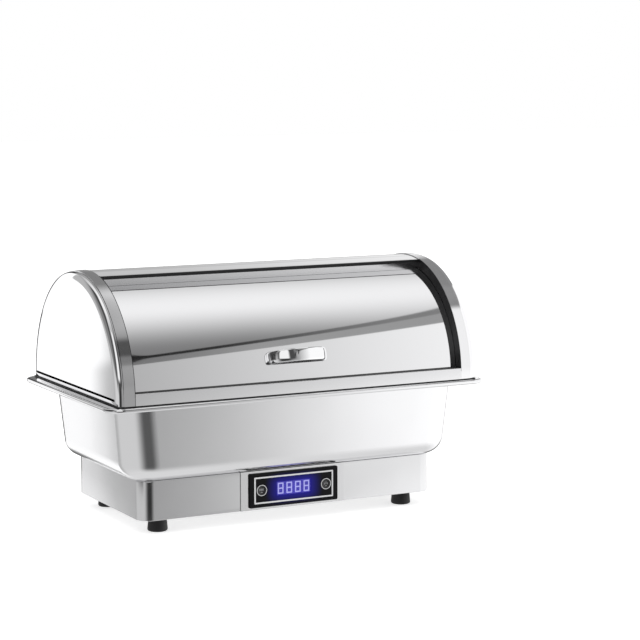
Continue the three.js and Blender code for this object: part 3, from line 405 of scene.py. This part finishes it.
# Food pan
# A full-size stainless food pan that hangs in the opening by its flat rim and lifts out.
pan_satin = steel("satin pan steel", 0.80, 0.26, grain=(0.05, 1, 1), grain_depth=0.00002)
food_low, food_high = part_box("food_pan")
food_rim = 0.0125
food_taper = 0.0065
food_sheet = 0.001
food_top = (food_high.x - food_rim, food_high.y - food_rim)
food_base = (food_top[0] - food_taper, food_top[1] - food_taper)
food = drawn_pan(
    "food_tray", pan_satin, food_top, food_base, corner=0.0375, edge=0.015, sheet=food_sheet,
    bottom=food_low.z, rim_under=food_high.z - food_sheet, rim_width=food_rim,
)
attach(food, "food_pan")
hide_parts("food_pan")


# Base housing
# A folded box of satin sheet steel under the pan, with rounded corners and a rolled bottom edge.
# It carries the heater, the control panel and the power inlet.
satin = steel("satin steel", 0.80, 0.14, grain=(0.05, 0.05, 1), grain_depth=0.000008)
base_low, base_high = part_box("base_housing")
base_x, base_y, base_top = base_high
base_bottom = base_low.z
base_corner = 0.0209
base_sheet = 0.0012
base_ledge = 0.014
ledge_x = base_x - base_ledge
ledge_y = base_y - base_ledge
ledge_corner = base_corner - base_ledge
inside_x = base_x - base_sheet
inside_y = base_y - base_sheet
inside_corner = base_corner - base_sheet
fold = 0.0016
hem = 0.0006
housing_rings = [
    level_ring(base_x - hem, base_y - hem, base_corner - hem, base_bottom),
    level_ring(base_x, base_y, base_corner, base_bottom + hem),
]
for sine, cosine in quarter(4):
    inward = fold * (1 - cosine)
    rise = base_top - fold * (1 - sine)
    housing_rings.append(level_ring(base_x - inward, base_y - inward, base_corner - inward, rise))
housing_rings += [
    level_ring(ledge_x, ledge_y, ledge_corner, base_top),
    level_ring(ledge_x, ledge_y, ledge_corner, base_top - base_sheet),
    level_ring(inside_x, inside_y, inside_corner, base_top - base_sheet),
    level_ring(inside_x, inside_y, inside_corner, base_bottom),
]
housing = skin("base_shell", housing_rings, satin, looped=True)


def take_away(piece, shape, crease):
    """Cuts a shape out of a piece, and marks the edges that turn by more than the crease."""
    cutter_mesh = bpy.data.meshes.new("cutter")
    shape.to_mesh(cutter_mesh)
    shape.free()
    cutter = bpy.data.objects.new("cutter", cutter_mesh)
    scene.collection.objects.link(cutter)
    modifier = piece.modifiers.new("cut", "BOOLEAN")
    modifier.object = cutter
    modifier.operation = "DIFFERENCE"
    modifier.solver = "EXACT"
    graph = bpy.context.evaluated_depsgraph_get()
    kept = bpy.data.meshes.new_from_object(piece.evaluated_get(graph))
    kept.set_sharp_from_angle(angle=math.radians(crease))
    piece.modifiers.clear()
    piece.data = kept
    bpy.data.objects.remove(cutter)


def cut_out(piece, low, high, crease=35):
    """Cuts a box-shaped opening, given by two opposite corners, through a piece."""
    low, high = Vector(low), Vector(high)
    shape = bmesh.new()
    bmesh.ops.create_cube(shape, size=1.0)
    bmesh.ops.scale(shape, vec=high - low, verts=shape.verts)
    bmesh.ops.translate(shape, vec=(low + high) / 2, verts=shape.verts)
    take_away(piece, shape, crease)


cut_outside = 0.002
cut_inside = 0.004
board_low, board_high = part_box("circuit_board")
board_margin = 0.002
plate_low, plate_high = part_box("control_plate")
panel_opening_low = (board_low.x - board_margin, plate_low.y - cut_outside, board_low.z - board_margin)
panel_opening_high = (board_high.x + board_margin, -base_y + cut_inside, board_high.z + board_margin)
cut_out(housing, panel_opening_low, panel_opening_high)
inlet_low, inlet_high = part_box("power_inlet")
inlet_middle = (inlet_low + inlet_high) / 2
inlet_hole_x = 0.0143
inlet_hole_z = 0.0103
cut_out(
    housing,
    (inlet_middle.x - inlet_hole_x, base_y - cut_inside, inlet_middle.z - inlet_hole_z),
    (inlet_middle.x + inlet_hole_x, base_y + cut_outside, inlet_middle.z + inlet_hole_z),
)
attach(housing, "base")
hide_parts("base_housing")


# Feet
# Four moulded rubber feet, slightly tapered and rounded at the floor, each held by one screw
# from below.
def circle(sides):
    """Cosines and sines all the way round."""
    angles = [2 * math.pi * side / sides for side in range(sides)]
    return [(math.cos(angle), math.sin(angle)) for angle in angles]


def turned(name, profile, material, place):
    """A hollow piece turned round an upright axis at place, from pairs of radius and height."""
    rings = []
    for radius, height in profile:
        level = place[2] + height
        rings.append([(place[0] + radius * x, place[1] + radius * y, level) for x, y in circle(40)])
    return skin(name, rings, material, looped=True)


def moulded(name, tone, roughness, coat=0.0, grain=0.00002):
    """Moulded rubber or plastic: one dark or pale tone with a fine grain and a little dust."""
    material, wire, shader = surface(name, Coat_Weight=coat)
    place = wire.add("ShaderNodeTexCoord", output="Object")
    fine = wire.add("ShaderNodeTexNoise", inputs={"Vector": place, "Scale": 900.0, "Detail": 2.0})
    dust = wire.add("ShaderNodeTexNoise", inputs={"Vector": place, "Scale": 25.0, "Detail": 4.0})
    shades = [level * (0.9 + 0.2 * dust) for level in tone]
    tint = wire.add("ShaderNodeCombineColor", inputs={0: shades[0], 1: shades[1], 2: shades[2]})
    wire.feed(shader.inputs["Base Color"], tint)
    wire.feed(shader.inputs["Roughness"], roughness + 0.12 * dust.rise(0.4, 0.8))
    bumps = wire.add("ShaderNodeBump", inputs={"Height": fine * grain, "Distance": 1.0})
    wire.feed(shader.inputs["Normal"], bumps)
    return material


# Black rubber for the feet; the cover seal and the ledge strip use it too, where its black is painted shade
# for gap lines
rubber = moulded("black rubber", (0.011, 0.011, 0.012), 0.55, grain=0.00004)
foot_radius = 0.015
foot_top_radius = 0.0135
foot_bore = 0.0055
foot_bore_depth = 0.009
foot_round = 0.003
foot_bevel = 0.0008
screw_hole = 0.0024
for corner in ("front_left", "front_right", "rear_left", "rear_right"):
    foot_low, foot_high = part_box("foot_" + corner)
    foot_height = foot_high.z
    profile = [(foot_bore, 0), (foot_radius - foot_round, 0)]
    for sine, cosine in quarter(5):
        profile.append((foot_radius - foot_round * (1 - sine), foot_round * (1 - cosine)))
    profile += [
        (foot_top_radius, foot_height - foot_bevel), (foot_top_radius - foot_bevel, foot_height),
        (screw_hole, foot_height), (screw_hole, foot_bore_depth), (foot_bore, foot_bore_depth),
    ]
    middle = (foot_low + foot_high) / 2
    rest = turned("rubber_foot_" + corner, profile, rubber, (middle.x, middle.y, 0))
    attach(rest, "base")
    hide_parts("foot_" + corner)


# Control plate
# A flat plate of satin steel, a little proud of the housing, that carries the control panel.
def bar(name, low, high, material, edge=0.0004, corner=0.0, axis="y", corner_steps=6):
    """A flat plate that faces along Y or Z, with rounded corners and softened edges."""
    low, high = Vector(low), Vector(high)
    middle = (low + high) / 2
    half = (high - low) / 2
    wide, deep, thick = (half.x, half.z, half.y) if axis == "y" else half
    corner = max(corner, edge * 1.01)
    bevel = edge * 0.3
    stations = [
        (-thick, edge), (-thick + bevel, bevel), (-thick + edge, 0),
        (thick - edge, 0), (thick - bevel, bevel), (thick, edge),
    ]
    rings = []
    for level, inward in stations:
        ring = level_ring(wide - inward, deep - inward, corner - inward, level, corner_steps)
        if axis == "y":
            ring = [(x, z, y) for x, y, z in ring]
        rings.append([tuple(Vector(point) + middle) for point in ring])
    return skin(name, rings, material, capped=True, crease=20)


control = bar("control_sheet", plate_low, plate_high, satin, edge=0.0003)
cut_out(control, panel_opening_low, panel_opening_high, crease=20)
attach(control, "base")
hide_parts("control_plate")


# Control panel
# A gloss black plastic bezel, screwed to the circuit board behind it, with a printed white frame.
# The lit display shines through the smoked plastic round its window.
def lit_plastic(name, middle, half_width, half_height):
    """Gloss black plastic with a blue glow that fades away from the display behind it."""
    gloss = {"Coat_Weight": 0.05, "Coat_Roughness": 0.06, "Specular_IOR_Level": 0.12}
    material, wire, shader = surface(name, Emission_Strength=1.0, **gloss)
    place = wire.add("ShaderNodeTexCoord", output="Object")
    x, y, z = place.parts()
    aside = abs(x - middle.x) * (1 / half_width)
    above = abs(z - middle.z) * (1 / half_height)
    spill = aside.rise(1.75, 0.70) * above.rise(2.5, 0.6)
    haze = wire.add("ShaderNodeTexNoise", inputs={"Vector": place, "Scale": 60.0, "Detail": 3.0})
    wire.feed(shader.inputs["Base Color"], (0.004, 0.004, 0.005, 1))
    wire.feed(shader.inputs["Roughness"], 0.16 + 0.10 * haze)
    glow = wire.add("ShaderNodeCombineColor", inputs={0: spill * 0.012, 1: spill * 0.010, 2: spill * 0.24})
    wire.feed(shader.inputs["Emission Color"], glow)
    return material


window_low, window_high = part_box("display_window")
window_middle = (window_low + window_high) / 2
window_half = (window_high - window_low) / 2
bezel_black = lit_plastic("black panel plastic", window_middle, window_half.x, window_half.z)
panel_low, panel_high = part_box("panel_bezel")
panel_middle = (panel_low + panel_high) / 2
bezel_sheet = 0.0025
bezel_front = panel_low.y
bezel_back = bezel_front + bezel_sheet
bezel_high = (panel_high.x, bezel_back, panel_high.z)
bezel = bar("bezel", panel_low, bezel_high, bezel_black, edge=0.0006, corner=0.0022)
window_gap = 0.0003
cut_out(
    bezel,
    (window_low.x - window_gap, bezel_front - cut_outside, window_low.z - window_gap),
    (window_high.x + window_gap, bezel_back + cut_outside, window_high.z + window_gap), crease=20,
)
button_radius = 0.0087
button_gap = 0.0004
button_reach = 0.0534
hole_radius = button_radius + button_gap
for side in (-1, 1):
    hole_place = Matrix.Translation((panel_middle.x + side * button_reach, bezel_front, panel_middle.z))
    shape = bmesh.new()
    bmesh.ops.create_cone(
        shape, segments=64, radius1=hole_radius, radius2=hole_radius, depth=0.02, cap_ends=True,
        matrix=hole_place @ Matrix.Rotation(math.pi / 2, 4, "X"),
    )
    take_away(bezel, shape, crease=20)
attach(bezel, "base")
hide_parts("panel_bezel")

print_white = moulded("white print", (0.86, 0.86, 0.87), 0.45)
print_depth = 0.00012
frame_outer = (0.0656, 0.0201, 0.0012)
frame_inner = (0.0633, 0.0178, 0.0002)
frame_rings = []
for (half_x, half_z, corner), level in (
    (frame_outer, bezel_front + print_depth), (frame_outer, bezel_front - print_depth),
    (frame_inner, bezel_front - print_depth), (frame_inner, bezel_front + print_depth),
):
    ring = level_ring(half_x, half_z, corner, level, 5)
    frame_rings.append([(panel_middle.x + x, y, panel_middle.z + z) for x, z, y in ring])
print_frame = skin("printed_frame", frame_rings, print_white, looped=True)
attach(print_frame, "base")


# Display
# Four lit digits on a glowing blue ground behind a smoked window, all in one sealed module.
def glowing(name, colour, strength, patchy):
    """A lit surface whose brightness varies a little, as light spreads unevenly behind a display."""
    material, wire, shader = surface(name, Emission_Strength=strength, Roughness=0.4)
    place = wire.add("ShaderNodeTexCoord", output="Object")
    cloud = wire.add("ShaderNodeTexNoise", inputs={"Vector": place, "Scale": 90.0, "Detail": 1.0})
    levels = [level * (1 - patchy + 2 * patchy * cloud) for level in colour]
    tint = wire.add("ShaderNodeCombineColor", inputs={0: levels[0], 1: levels[1], 2: levels[2]})
    wire.feed(shader.inputs["Emission Color"], tint)
    wire.feed(shader.inputs["Base Color"], (0.02, 0.02, 0.10, 1))
    return material


ground_blue = glowing("display ground", (0.050, 0.040, 0.44), 1.0, 0.25)
digit_light = glowing("digit light", (0.50, 0.50, 1.0), 1.0, 0.08)
digits_low, digits_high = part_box("display_digits")
digit_face = digits_low.y
digit_depth = 0.0004
ground_front = digit_face + digit_depth
ground_low = (digits_low.x, ground_front, digits_low.z)
ground = bar("display_ground", ground_low, digits_high, ground_blue, edge=0.0002)
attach(ground, "base")
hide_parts("display_digits")

digit_width = 0.0094
digit_height = 0.0168
digit_pitch = 0.0143
stroke = 0.0019
half_width = (digit_width - stroke) / 2
half_height = (digit_height - stroke) / 2
segments = [
    (-half_width, half_width, level, level) for level in (-half_height, 0, half_height)
] + [
    (x, x, low, low + half_height) for x in (-half_width, half_width) for low in (-half_height, 0)
]


def joined(name, pieces):
    """Several meshes as one piece."""
    with bpy.context.temp_override(active_object=pieces[0], selected_editable_objects=pieces):
        bpy.ops.object.join()
    pieces[0].name = name
    return pieces[0]


strokes = []
for order in range(4):
    middle_x = window_middle.x + (order - 1.5) * digit_pitch
    for x0, x1, z0, z1 in segments:
        low = (middle_x + x0 - stroke / 2, digit_face, window_middle.z + z0 - stroke / 2)
        high = (middle_x + x1 + stroke / 2, ground_front, window_middle.z + z1 + stroke / 2)
        strokes.append(bar("stroke", low, high, digit_light, edge=0.0001, corner=0.0006, corner_steps=3))
digits = joined("digits", strokes)
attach(digits, "base")


def smoked(name):
    """Thin smoked plastic: mostly clear, with a gloss of its own and faint scuffs."""
    material, wire, shader = surface(name, Alpha=0.12)
    place = wire.add("ShaderNodeTexCoord", output="Object")
    scuffs = wire.add("ShaderNodeTexNoise", inputs={"Vector": place, "Scale": 140.0, "Detail": 4.0})
    wire.feed(shader.inputs["Base Color"], (0.01, 0.012, 0.06, 1))
    wire.feed(shader.inputs["Roughness"], 0.05 + 0.10 * scuffs.rise(0.5, 0.8))
    return material


window = bar("window", window_low, window_high, smoked("smoked window"), edge=0.0002)
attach(window, "base")
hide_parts("display_window")


# Push buttons
# Two round gloss black caps, slightly dished for a fingertip, each with a printed ring and mark.
def turned_forward(name, profile, material, place, hollow=False):
    """A piece turned round an axis along -Y, from pairs of radius and distance in front of place."""
    rings = []
    for radius, reach in profile:
        front = place[1] - reach
        rings.append([(place[0] + radius * x, front, place[2] + radius * z) for x, z in circle(64)])
    return skin(name, rings, material, looped=hollow, capped=not hollow)


cap_black = moulded("button black", (0.005, 0.005, 0.006), 0.22, coat=0.4, grain=0.000005)
print_grey = moulded("grey print", (0.30, 0.30, 0.31), 0.45)
ring_print = moulded("ring print", (0.78, 0.78, 0.79), 0.45)
ring_outer = 0.0083
ring_inner = 0.0074
ring_front = 0.0001
ring_back = -0.0006
dish_depth = 0.0005
dish_share = 0.95
cap_round = 0.0004
stem_radius = 0.0035
collar_thick = 0.0012
collar_gap = 0.0003
mark_proud = 0.00005
mark_depth = 0.0007

# Each mark is a few short bars, given by their middle (x, z) and half sizes
button_marks = {
    "left": [
        (-0.0032, 0.0012, 0.0009, 0.0016), (-0.0008, 0.0012, 0.0009, 0.0016),
        (0.0016, 0.0012, 0.0009, 0.0016), (-0.0004, -0.0028, 0.0016, 0.0006),
    ],
    "right": [
        (0.0000, 0.0016, 0.0005, 0.0018), (-0.0022, 0.0004, 0.0006, 0.0014),
        (0.0022, 0.0004, 0.0006, 0.0014), (0.0000, -0.0030, 0.0009, 0.0007),
    ],
}
for name, bars in button_marks.items():
    node = "button_" + name
    body = name + "_button"
    button_low, button_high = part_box(node)
    middle = (button_low + button_high) / 2
    depth = button_high.y - button_low.y
    shoulder = button_high.x - middle.x
    front = button_low.y
    place = (middle.x, front, middle.z)
    collar_front = front - bezel_back - collar_gap
    collar_back = collar_front - collar_thick
    profile = [
        (stem_radius, -depth), (stem_radius, collar_back), (shoulder, collar_back),
        (shoulder, collar_front), (button_radius, collar_front),
    ]
    for sine, cosine in quarter(4):
        profile.append((button_radius - cap_round * (1 - cosine), -cap_round * (1 - sine)))
    for share in (0.85, 0.7, 0.5, 0.3, 0.1):
        profile.append((button_radius * share * dish_share, -dish_depth * (1 - share * share)))
    cap = turned_forward("button_cap_" + name, profile, cap_black, place)
    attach(cap, body)
    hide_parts(node)
    ring_profile = [
        (ring_outer, ring_front), (ring_outer, ring_back),
        (ring_inner, ring_back), (ring_inner, ring_front),
    ]
    ring = turned_forward("button_ring_" + name, ring_profile, ring_print, place, hollow=True)
    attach(ring, body)
    marks = []
    for x, z, half_x, half_z in bars:
        low = (middle.x + x - half_x, front - mark_proud, middle.z + z - half_z)
        high = (middle.x + x + half_x, front + mark_depth, middle.z + z + half_z)
        marks.append(bar("mark", low, high, print_grey, edge=0.0001, corner=0.0002, corner_steps=2))
    mark = joined("button_mark_" + name, marks)
    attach(mark, body)


# Seal under the cover
# A black rubber strip round the foot of the cover, which rests on the flange. Its black is painted shade
# for the dark gap line between the cover's foot and the flange.
sill_low, sill_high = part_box("front_sill")
cap_low, cap_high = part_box("end_cap_right")
cover_foot = sill_low.z
seal_height = 0.0013
cover_base = cover_foot + seal_height
seal_width = 0.004
seal_inset = 0.0004
seal_x = cap_high.x - seal_inset
seal_y = -sill_low.y - seal_inset
seal_rings = []
for inward, level in ((0, cover_foot), (0, cover_base), (seal_width, cover_base), (seal_width, cover_foot)):
    seal_rings.append(level_ring(seal_x - inward, seal_y - inward, 0.001, level, 3))
seal = skin("cover_shade_seal", seal_rings, rubber, looped=True)
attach(seal, "cover")


# Sills
# Folded stainless channels along the front and back of the cover. Their tops carry the lid's
# edge and the fixed rear cover's edge.
def extruded(name, outline, x0, x1, material):
    """An outline in the YZ plane, pushed along X."""
    rings = [[(x, y, z) for y, z in outline] for x in (x0, x1)]
    return skin(name, rings, material, capped=True)


sill_steel = steel("sill steel", 0.86, 0.11, haze=0.02)
sill_sheet = 0.0012
sill_ledge = sill_high.y - sill_low.y
sill_round = 0.0012
face = sill_low.y
sill_outline = [(face, cover_base)]
for sine, cosine in quarter(5):
    sill_outline.append((face + sill_round * (1 - cosine), sill_high.z - sill_round * (1 - sine)))
sill_outline += [
    (face + sill_ledge, sill_high.z), (face + sill_ledge, sill_high.z - sill_sheet),
    (face + sill_sheet, sill_high.z - sill_sheet), (face + sill_sheet, cover_base),
]
for name, side in (("front", 1), ("rear", -1)):
    outline = [(side * y, z) for y, z in sill_outline]
    sill = extruded(name + "_rail", outline, sill_low.x, sill_high.x, sill_steel)
    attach(sill, "cover")
    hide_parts(name + "_sill")


# A thin black rubber strip lies on the front ledge, where the lid's lower edge comes down; its black is
# painted shade for the shadow line at the lid's foot
strip_height = 0.0004
strip_front = 0.0015
strip_back = 0.0035
strip_low = (sill_low.x, sill_low.y + strip_front, sill_high.z)
strip_high = (sill_high.x, sill_high.y - strip_back, sill_high.z + strip_height)
ledge_shade_strip = bar("ledge_shade_strip", strip_low, strip_high, rubber, edge=0.0001, axis="z")
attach(ledge_shade_strip, "cover")


# Arch bands
# A polished stainless band over each end of the cover, falling slightly outwards. Its outer edge
# is turned down square and stands a little above the end plate.
arch_radius = -sill_low.y
arch_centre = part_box("arch_band_right")[1].z - arch_radius


def arch_frames(low, high, step, foot=None):
    """Angles up from the front, each with a height over the arch's centre. A foot adds straight ends."""
    count = max(1, round((high - low) / step))
    frames = [(math.radians(low + (high - low) * i / count), 0.0) for i in range(count + 1)]
    if foot is not None:
        frames = [(frames[0][0], foot - arch_centre)] + frames + [(frames[-1][0], foot - arch_centre)]
    return frames


def swept(name, section, frames, material):
    """A closed section of (x, radius) pairs, swept along the arch."""
    rings = []
    for angle, rise in frames:
        ring = []
        for x, radius in section:
            ring.append((x, -radius * math.cos(angle), arch_centre + rise + radius * math.sin(angle)))
        rings.append(ring)
    return skin(name, rings, material, capped=True)


def span(low, high):
    """How far from the middle a box at either end begins and ends, along X."""
    return sorted((abs(low.x), abs(high.x)))


band_steel = steel("band steel", 0.84, 0.06, haze=0.02)
band_sheet = 0.0012
band_fall = 0.0005
band_sink = 0.0003
fold_edge = 0.0002
edge_height = 0.0020
edge_undercut = 0.00006
for end, side in (("left", -1), ("right", 1)):
    band_low, band_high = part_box("arch_band_" + end)
    x_in, x_out = span(band_low, band_high)
    band_top = arch_radius - band_sink
    band_side = band_top - band_fall
    edge_foot = band_side - edge_height
    outline = [
        (x_in, band_top - band_sink), (x_in + band_sink, band_top),
        (x_out - fold_edge, band_side), (x_out, band_side - fold_edge),
        (x_out - edge_undercut, edge_foot), (x_out - band_sheet, edge_foot),
        (x_out - band_sheet, arch_radius - band_sheet - band_fall), (x_in, arch_radius - band_sheet),
    ]
    section = [(side * x, radius) for x, radius in outline]
    band = swept("end_band_" + end, section, arch_frames(0, 180, 2, foot=cover_base), band_steel)
    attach(band, "cover")
    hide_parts("arch_band_" + end)


# End caps
# Deep-pressed stainless plates with a soft shoulder, polished like a mirror, that close both
# ends of the cover and carry the lid's pivots.
cap_steel = steel("end cap steel", 0.95, 0.03, haze=0.01)
cap_sheet = 0.0012
cap_step = 0.0018
shoulder_drop = 0.0027
rim_angle = math.radians(24)
rim_turn = 0.0085
flat_start = 0.001
rim_radius = rim_turn / math.sin(rim_angle)
rim_fall = rim_radius * (1 - math.cos(rim_angle))
cap_steps = 12
arch_steps = 60
foot_steps = 16


def arch_ring(x, radius, foot):
    """An upright ring in the outline of the arch, flat along the bottom."""
    ring = []
    for step in range(arch_steps + 1):
        angle = math.pi * step / arch_steps
        ring.append((x, -radius * math.cos(angle), arch_centre + radius * math.sin(angle)))
    bottom = [(x, radius - 2 * radius * step / foot_steps, foot) for step in range(foot_steps + 1)]
    return ring + bottom


for end, side in (("left", -1), ("right", 1)):
    cap_low, cap_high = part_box("end_cap_" + end)
    seam, face_x = span(cap_low, cap_high)
    depth = face_x - rim_fall - seam
    knee = depth - shoulder_drop * math.tan(rim_angle)
    reach = face_x - seam
    profile = []
    for step in range(cap_steps + 1):
        share = step / cap_steps
        out = 2 * share * (1 - share) * knee + share * share * depth
        profile.append((out, shoulder_drop * share * share, 0.0))
    for step in range(1, cap_steps + 1):
        angle = rim_angle * (1 - step / cap_steps)
        inward = rim_turn - rim_radius * math.sin(angle)
        profile.append((reach - rim_radius * (1 - math.cos(angle)), shoulder_drop + inward, inward))
    profile.append((reach, shoulder_drop + rim_turn + flat_start, rim_turn + flat_start))
    rim = arch_radius - cap_step
    shrink = (reach - cap_sheet) / reach
    outer = []
    inner = []
    for out, drop, inward in profile:
        outer.append(arch_ring(side * (seam + out), rim - drop, cover_base + inward))
        inner.append(arch_ring(side * (seam + out * shrink), rim - cap_sheet - drop, cover_base + inward))
    cap = skin("end_plate_" + end, outer[::-1] + inner, cap_steel, capped=True)
    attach(cap, "cover")
    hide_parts("end_cap_" + end)


# Guide strips
# Rubber strips under the bands' inner edges, which fill the step down to the lid and keep
# it from rattling. Their black is painted shade for the shadow in that step.
# Near-black rubber, here painted shade for the dark step and for the dark line under the rear cover
shade_black = moulded("shade black rubber", (0.006, 0.006, 0.007), 0.5, grain=0.00003)
lid_low, lid_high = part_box("lid_shell")
lid_outer = lid_high.z - arch_centre
strip_gap = 0.0006
strip_lap = 0.0006
strip_lift = 0.0004
strip_proud = 0.0001
strip_start = 2
strip_end = 75.85
rear_gap = 0.0003
rear_outer = arch_radius - band_sheet - rear_gap
for end, side in (("left", -1), ("right", 1)):
    strip_low, strip_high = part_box("guide_strip_" + end)
    x_in, x_out = span(strip_low, strip_high)
    x_lap = x_in - strip_lap
    outline = [
        (x_lap, lid_outer + strip_gap + strip_lift), (x_in, lid_outer + strip_gap),
        (x_out, lid_outer + strip_gap), (x_out, rear_outer), (x_in, rear_outer),
        (x_in, arch_radius + strip_proud), (x_lap, arch_radius + strip_proud),
    ]
    section = [(side * x, radius) for x, radius in outline]
    strip = swept("rubber_guide_" + end, section, arch_frames(strip_start, strip_end, 1.5), shade_black)
    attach(strip, "cover")
    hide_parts("guide_strip_" + end)


# Rear cover
# A fixed curved sheet of polished stainless over the back half of the arch. Its front edge is
# folded down into a lip that closes the step to the lid. The lip's darker steel is painted shade for
# that step, and the black edging over the fold is painted shade for the dark line under the edge.
mirror = steel("mirror steel", 0.92, 0.025, haze=0.01)
rear_low, rear_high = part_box("rear_cover")
rear_sheet = 0.001
rear_inner = rear_outer - rear_sheet
rear_front = 76.0
edging_lap = 0.4
edging_reach = 0.25
edging_proud = 0.0002
ledge_gap = 0.0003
ledge_rise = sill_high.z + ledge_gap - arch_centre
rear_end = 180 - math.degrees(math.asin(ledge_rise / rear_inner))


def sheet_section(low_x, high_x, inner, outer):
    """A plain strip of sheet across the arch, between two radii."""
    return [(low_x, inner), (low_x, outer), (high_x, outer), (high_x, inner)]


section = sheet_section(rear_low.x, rear_high.x, rear_inner, rear_outer)
rear = swept("rear_sheet", section, arch_frames(rear_front + edging_lap, rear_end, 1.0), mirror)
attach(rear, "cover")
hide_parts("rear_cover")

lip_gap = 0.0002
lip_sheet = 0.0008
lip_angle = 74.75
nose_angle = 74.9
lip_sheet_angle = 0.3
edging_height = 0.0036
# The lip takes a darker steel than the sheet it is folded from: painted shade for the step under the edging
lip_shaded_steel = steel("lip shaded steel", 0.71, 0.16, haze=0.02)
lip_top = rear_outer - edging_height
lip_under = lip_top - lip_sheet
lip_foot = lid_outer + lip_gap
lip_outline = []
for angle, radius in (
    (rear_front, lip_top), (nose_angle, lip_top), (lip_angle, lip_foot),
    (lip_angle + lip_sheet_angle, lip_foot), (nose_angle + lip_sheet_angle, lip_under),
    (rear_front + lip_sheet_angle, lip_under), (rear_front + lip_sheet_angle, rear_inner),
    (rear_front, rear_inner),
):
    turn = math.radians(angle)
    lip_outline.append((-radius * math.cos(turn), arch_centre + radius * math.sin(turn)))
rear_lip = extruded("rear_lip", lip_outline, rear_low.x, rear_high.x, lip_shaded_steel)
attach(rear_lip, "cover")
# The black edging over the fold is painted shade for the dark line under the cover's edge
section = sheet_section(rear_low.x, rear_high.x, lip_top, rear_outer + edging_proud)
edging_frames = arch_frames(rear_front - edging_reach, rear_front + edging_lap, 0.2)
edging = swept("rear_shade_edging", section, edging_frames, shade_black)
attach(edging, "cover")


# Lid
# A thin curved sheet of mirror-polished stainless that rolls back under the rear cover.
lid_sheet = 0.001
lid_inner = lid_outer - lid_sheet
lid_front = math.degrees(math.asin(ledge_rise / lid_inner))
lid_rear = 96.0
section = sheet_section(lid_low.x, lid_high.x, lid_inner, lid_outer)
lid = swept("lid_sheet", section, arch_frames(lid_front, lid_rear, 1.0), mirror)
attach(lid, "lid")
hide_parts("lid_shell")


# Lid handle
# A cast and polished bow, thick at its feet and rounded all over, screwed on from inside the lid.
# Its inner side, turned towards the lid, takes a dark rough steel: painted shade for the shadow under the
# strap.
handle_length = 0.0945
handle_width = 0.019
handle_offset = -0.0033
handle_angle = math.radians(16.4)
handle_height = 0.0284
handle_strap = 0.0046
handle_leg = 0.008
handle_roundness = 2.5
width_bend = 0.65
depth_bend = 0.85
handle_gap = 0.0003
handle_steps = 48
handle_sides = 28
# How far a face must turn towards the lid before it takes the painted shade
painted_shade_side = -0.10
handle_steel = steel("handle steel", 0.93, 0.04, haze=0.01)


def bow_point(half, rise, turn):
    """A point on a bow of rounded arch shape, as (along, height above the lid)."""
    bend = 2 / handle_roundness
    along = math.copysign(abs(math.cos(turn)) ** bend, math.cos(turn))
    return -half * along, rise * abs(math.sin(turn)) ** bend


handle_rings = []
lean = Matrix.Rotation(-handle_angle, 3, "X")
handle_foot = lid_outer + handle_gap
for step in range(handle_steps + 1):
    turn = math.pi * step / handle_steps
    outer = bow_point(handle_length / 2, handle_height - handle_gap, turn)
    inner = bow_point(handle_length / 2 - handle_leg, handle_height - handle_strap, turn)
    ring = []
    for cosine, sine in circle(handle_sides):
        wide = math.copysign(abs(cosine) ** width_bend, cosine) * handle_width / 2
        deep = (1 - math.copysign(abs(sine) ** depth_bend, sine)) / 2
        along = outer[0] + (inner[0] - outer[0]) * deep
        rise = outer[1] + (inner[1] - outer[1]) * deep
        point = lean @ Vector((handle_offset + along, -handle_foot - rise, wide))
        ring.append((point.x, point.y, point.z + arch_centre))
    handle_rings.append(ring)
handle = skin("grip", handle_rings, handle_steel, capped=True, crease=60)
# A second, dark steel on the faces turned towards the lid is painted shade under the strap
handle.data.materials.append(steel("handle painted shade steel", 0.26, 0.40, haze=0.02))
outward = lean @ Vector((0, -1, 0))
for face in handle.data.polygons:
    face.material_index = 1 if face.normal.dot(outward) < painted_shade_side else 0
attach(handle, "lid")
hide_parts("lid_handle")


# Parts inside, and small hardware
# The heater, the electrics, the pivots and the screws keep their own solids.
metal_inside = steel("inside steel", 0.66, 0.32, grain_depth=0.00002)
sheet_inside = steel("rolled aluminium", 0.62, 0.38, grain=(0.05, 1, 1), grain_depth=0.00003)
board_green = moulded("circuit lacquer", (0.014, 0.10, 0.034), 0.35, coat=0.3)
nylon = moulded("pale nylon", (0.70, 0.66, 0.58), 0.45)
socket_black = moulded("socket black", (0.008, 0.008, 0.009), 0.35)
cable_black = moulded("cable black", (0.010, 0.010, 0.011), 0.45, grain=0.00001)
looks = {
    sheet_inside: ["bottom_plate", "heat_spreader"],
    metal_inside: [
        "heating_element", "heat_shield", "thermal_cutout", "temperature_probe",
        "inlet_screw_left", "inlet_screw_right", "handle_screw_left", "handle_screw_right",
        "foot_screw_front_left", "foot_screw_front_right", "foot_screw_rear_left", "foot_screw_rear_right",
        "pivot_bracket_left", "pivot_bracket_right", "pivot_pin_left", "pivot_pin_right",
    ],
    board_green: ["circuit_board"],
    socket_black: ["power_inlet", "display_module"],
    nylon: ["terminal_block", "pivot_bush_left", "pivot_bush_right"],
    cable_black: ["inlet_lead", "control_loom"],
    pan_satin: ["lid_arm_left", "lid_arm_right"],
}
for material, nodes in looks.items():
    for node in nodes:
        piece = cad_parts[node]
        piece.data.materials.clear()
        piece.data.materials.append(material)
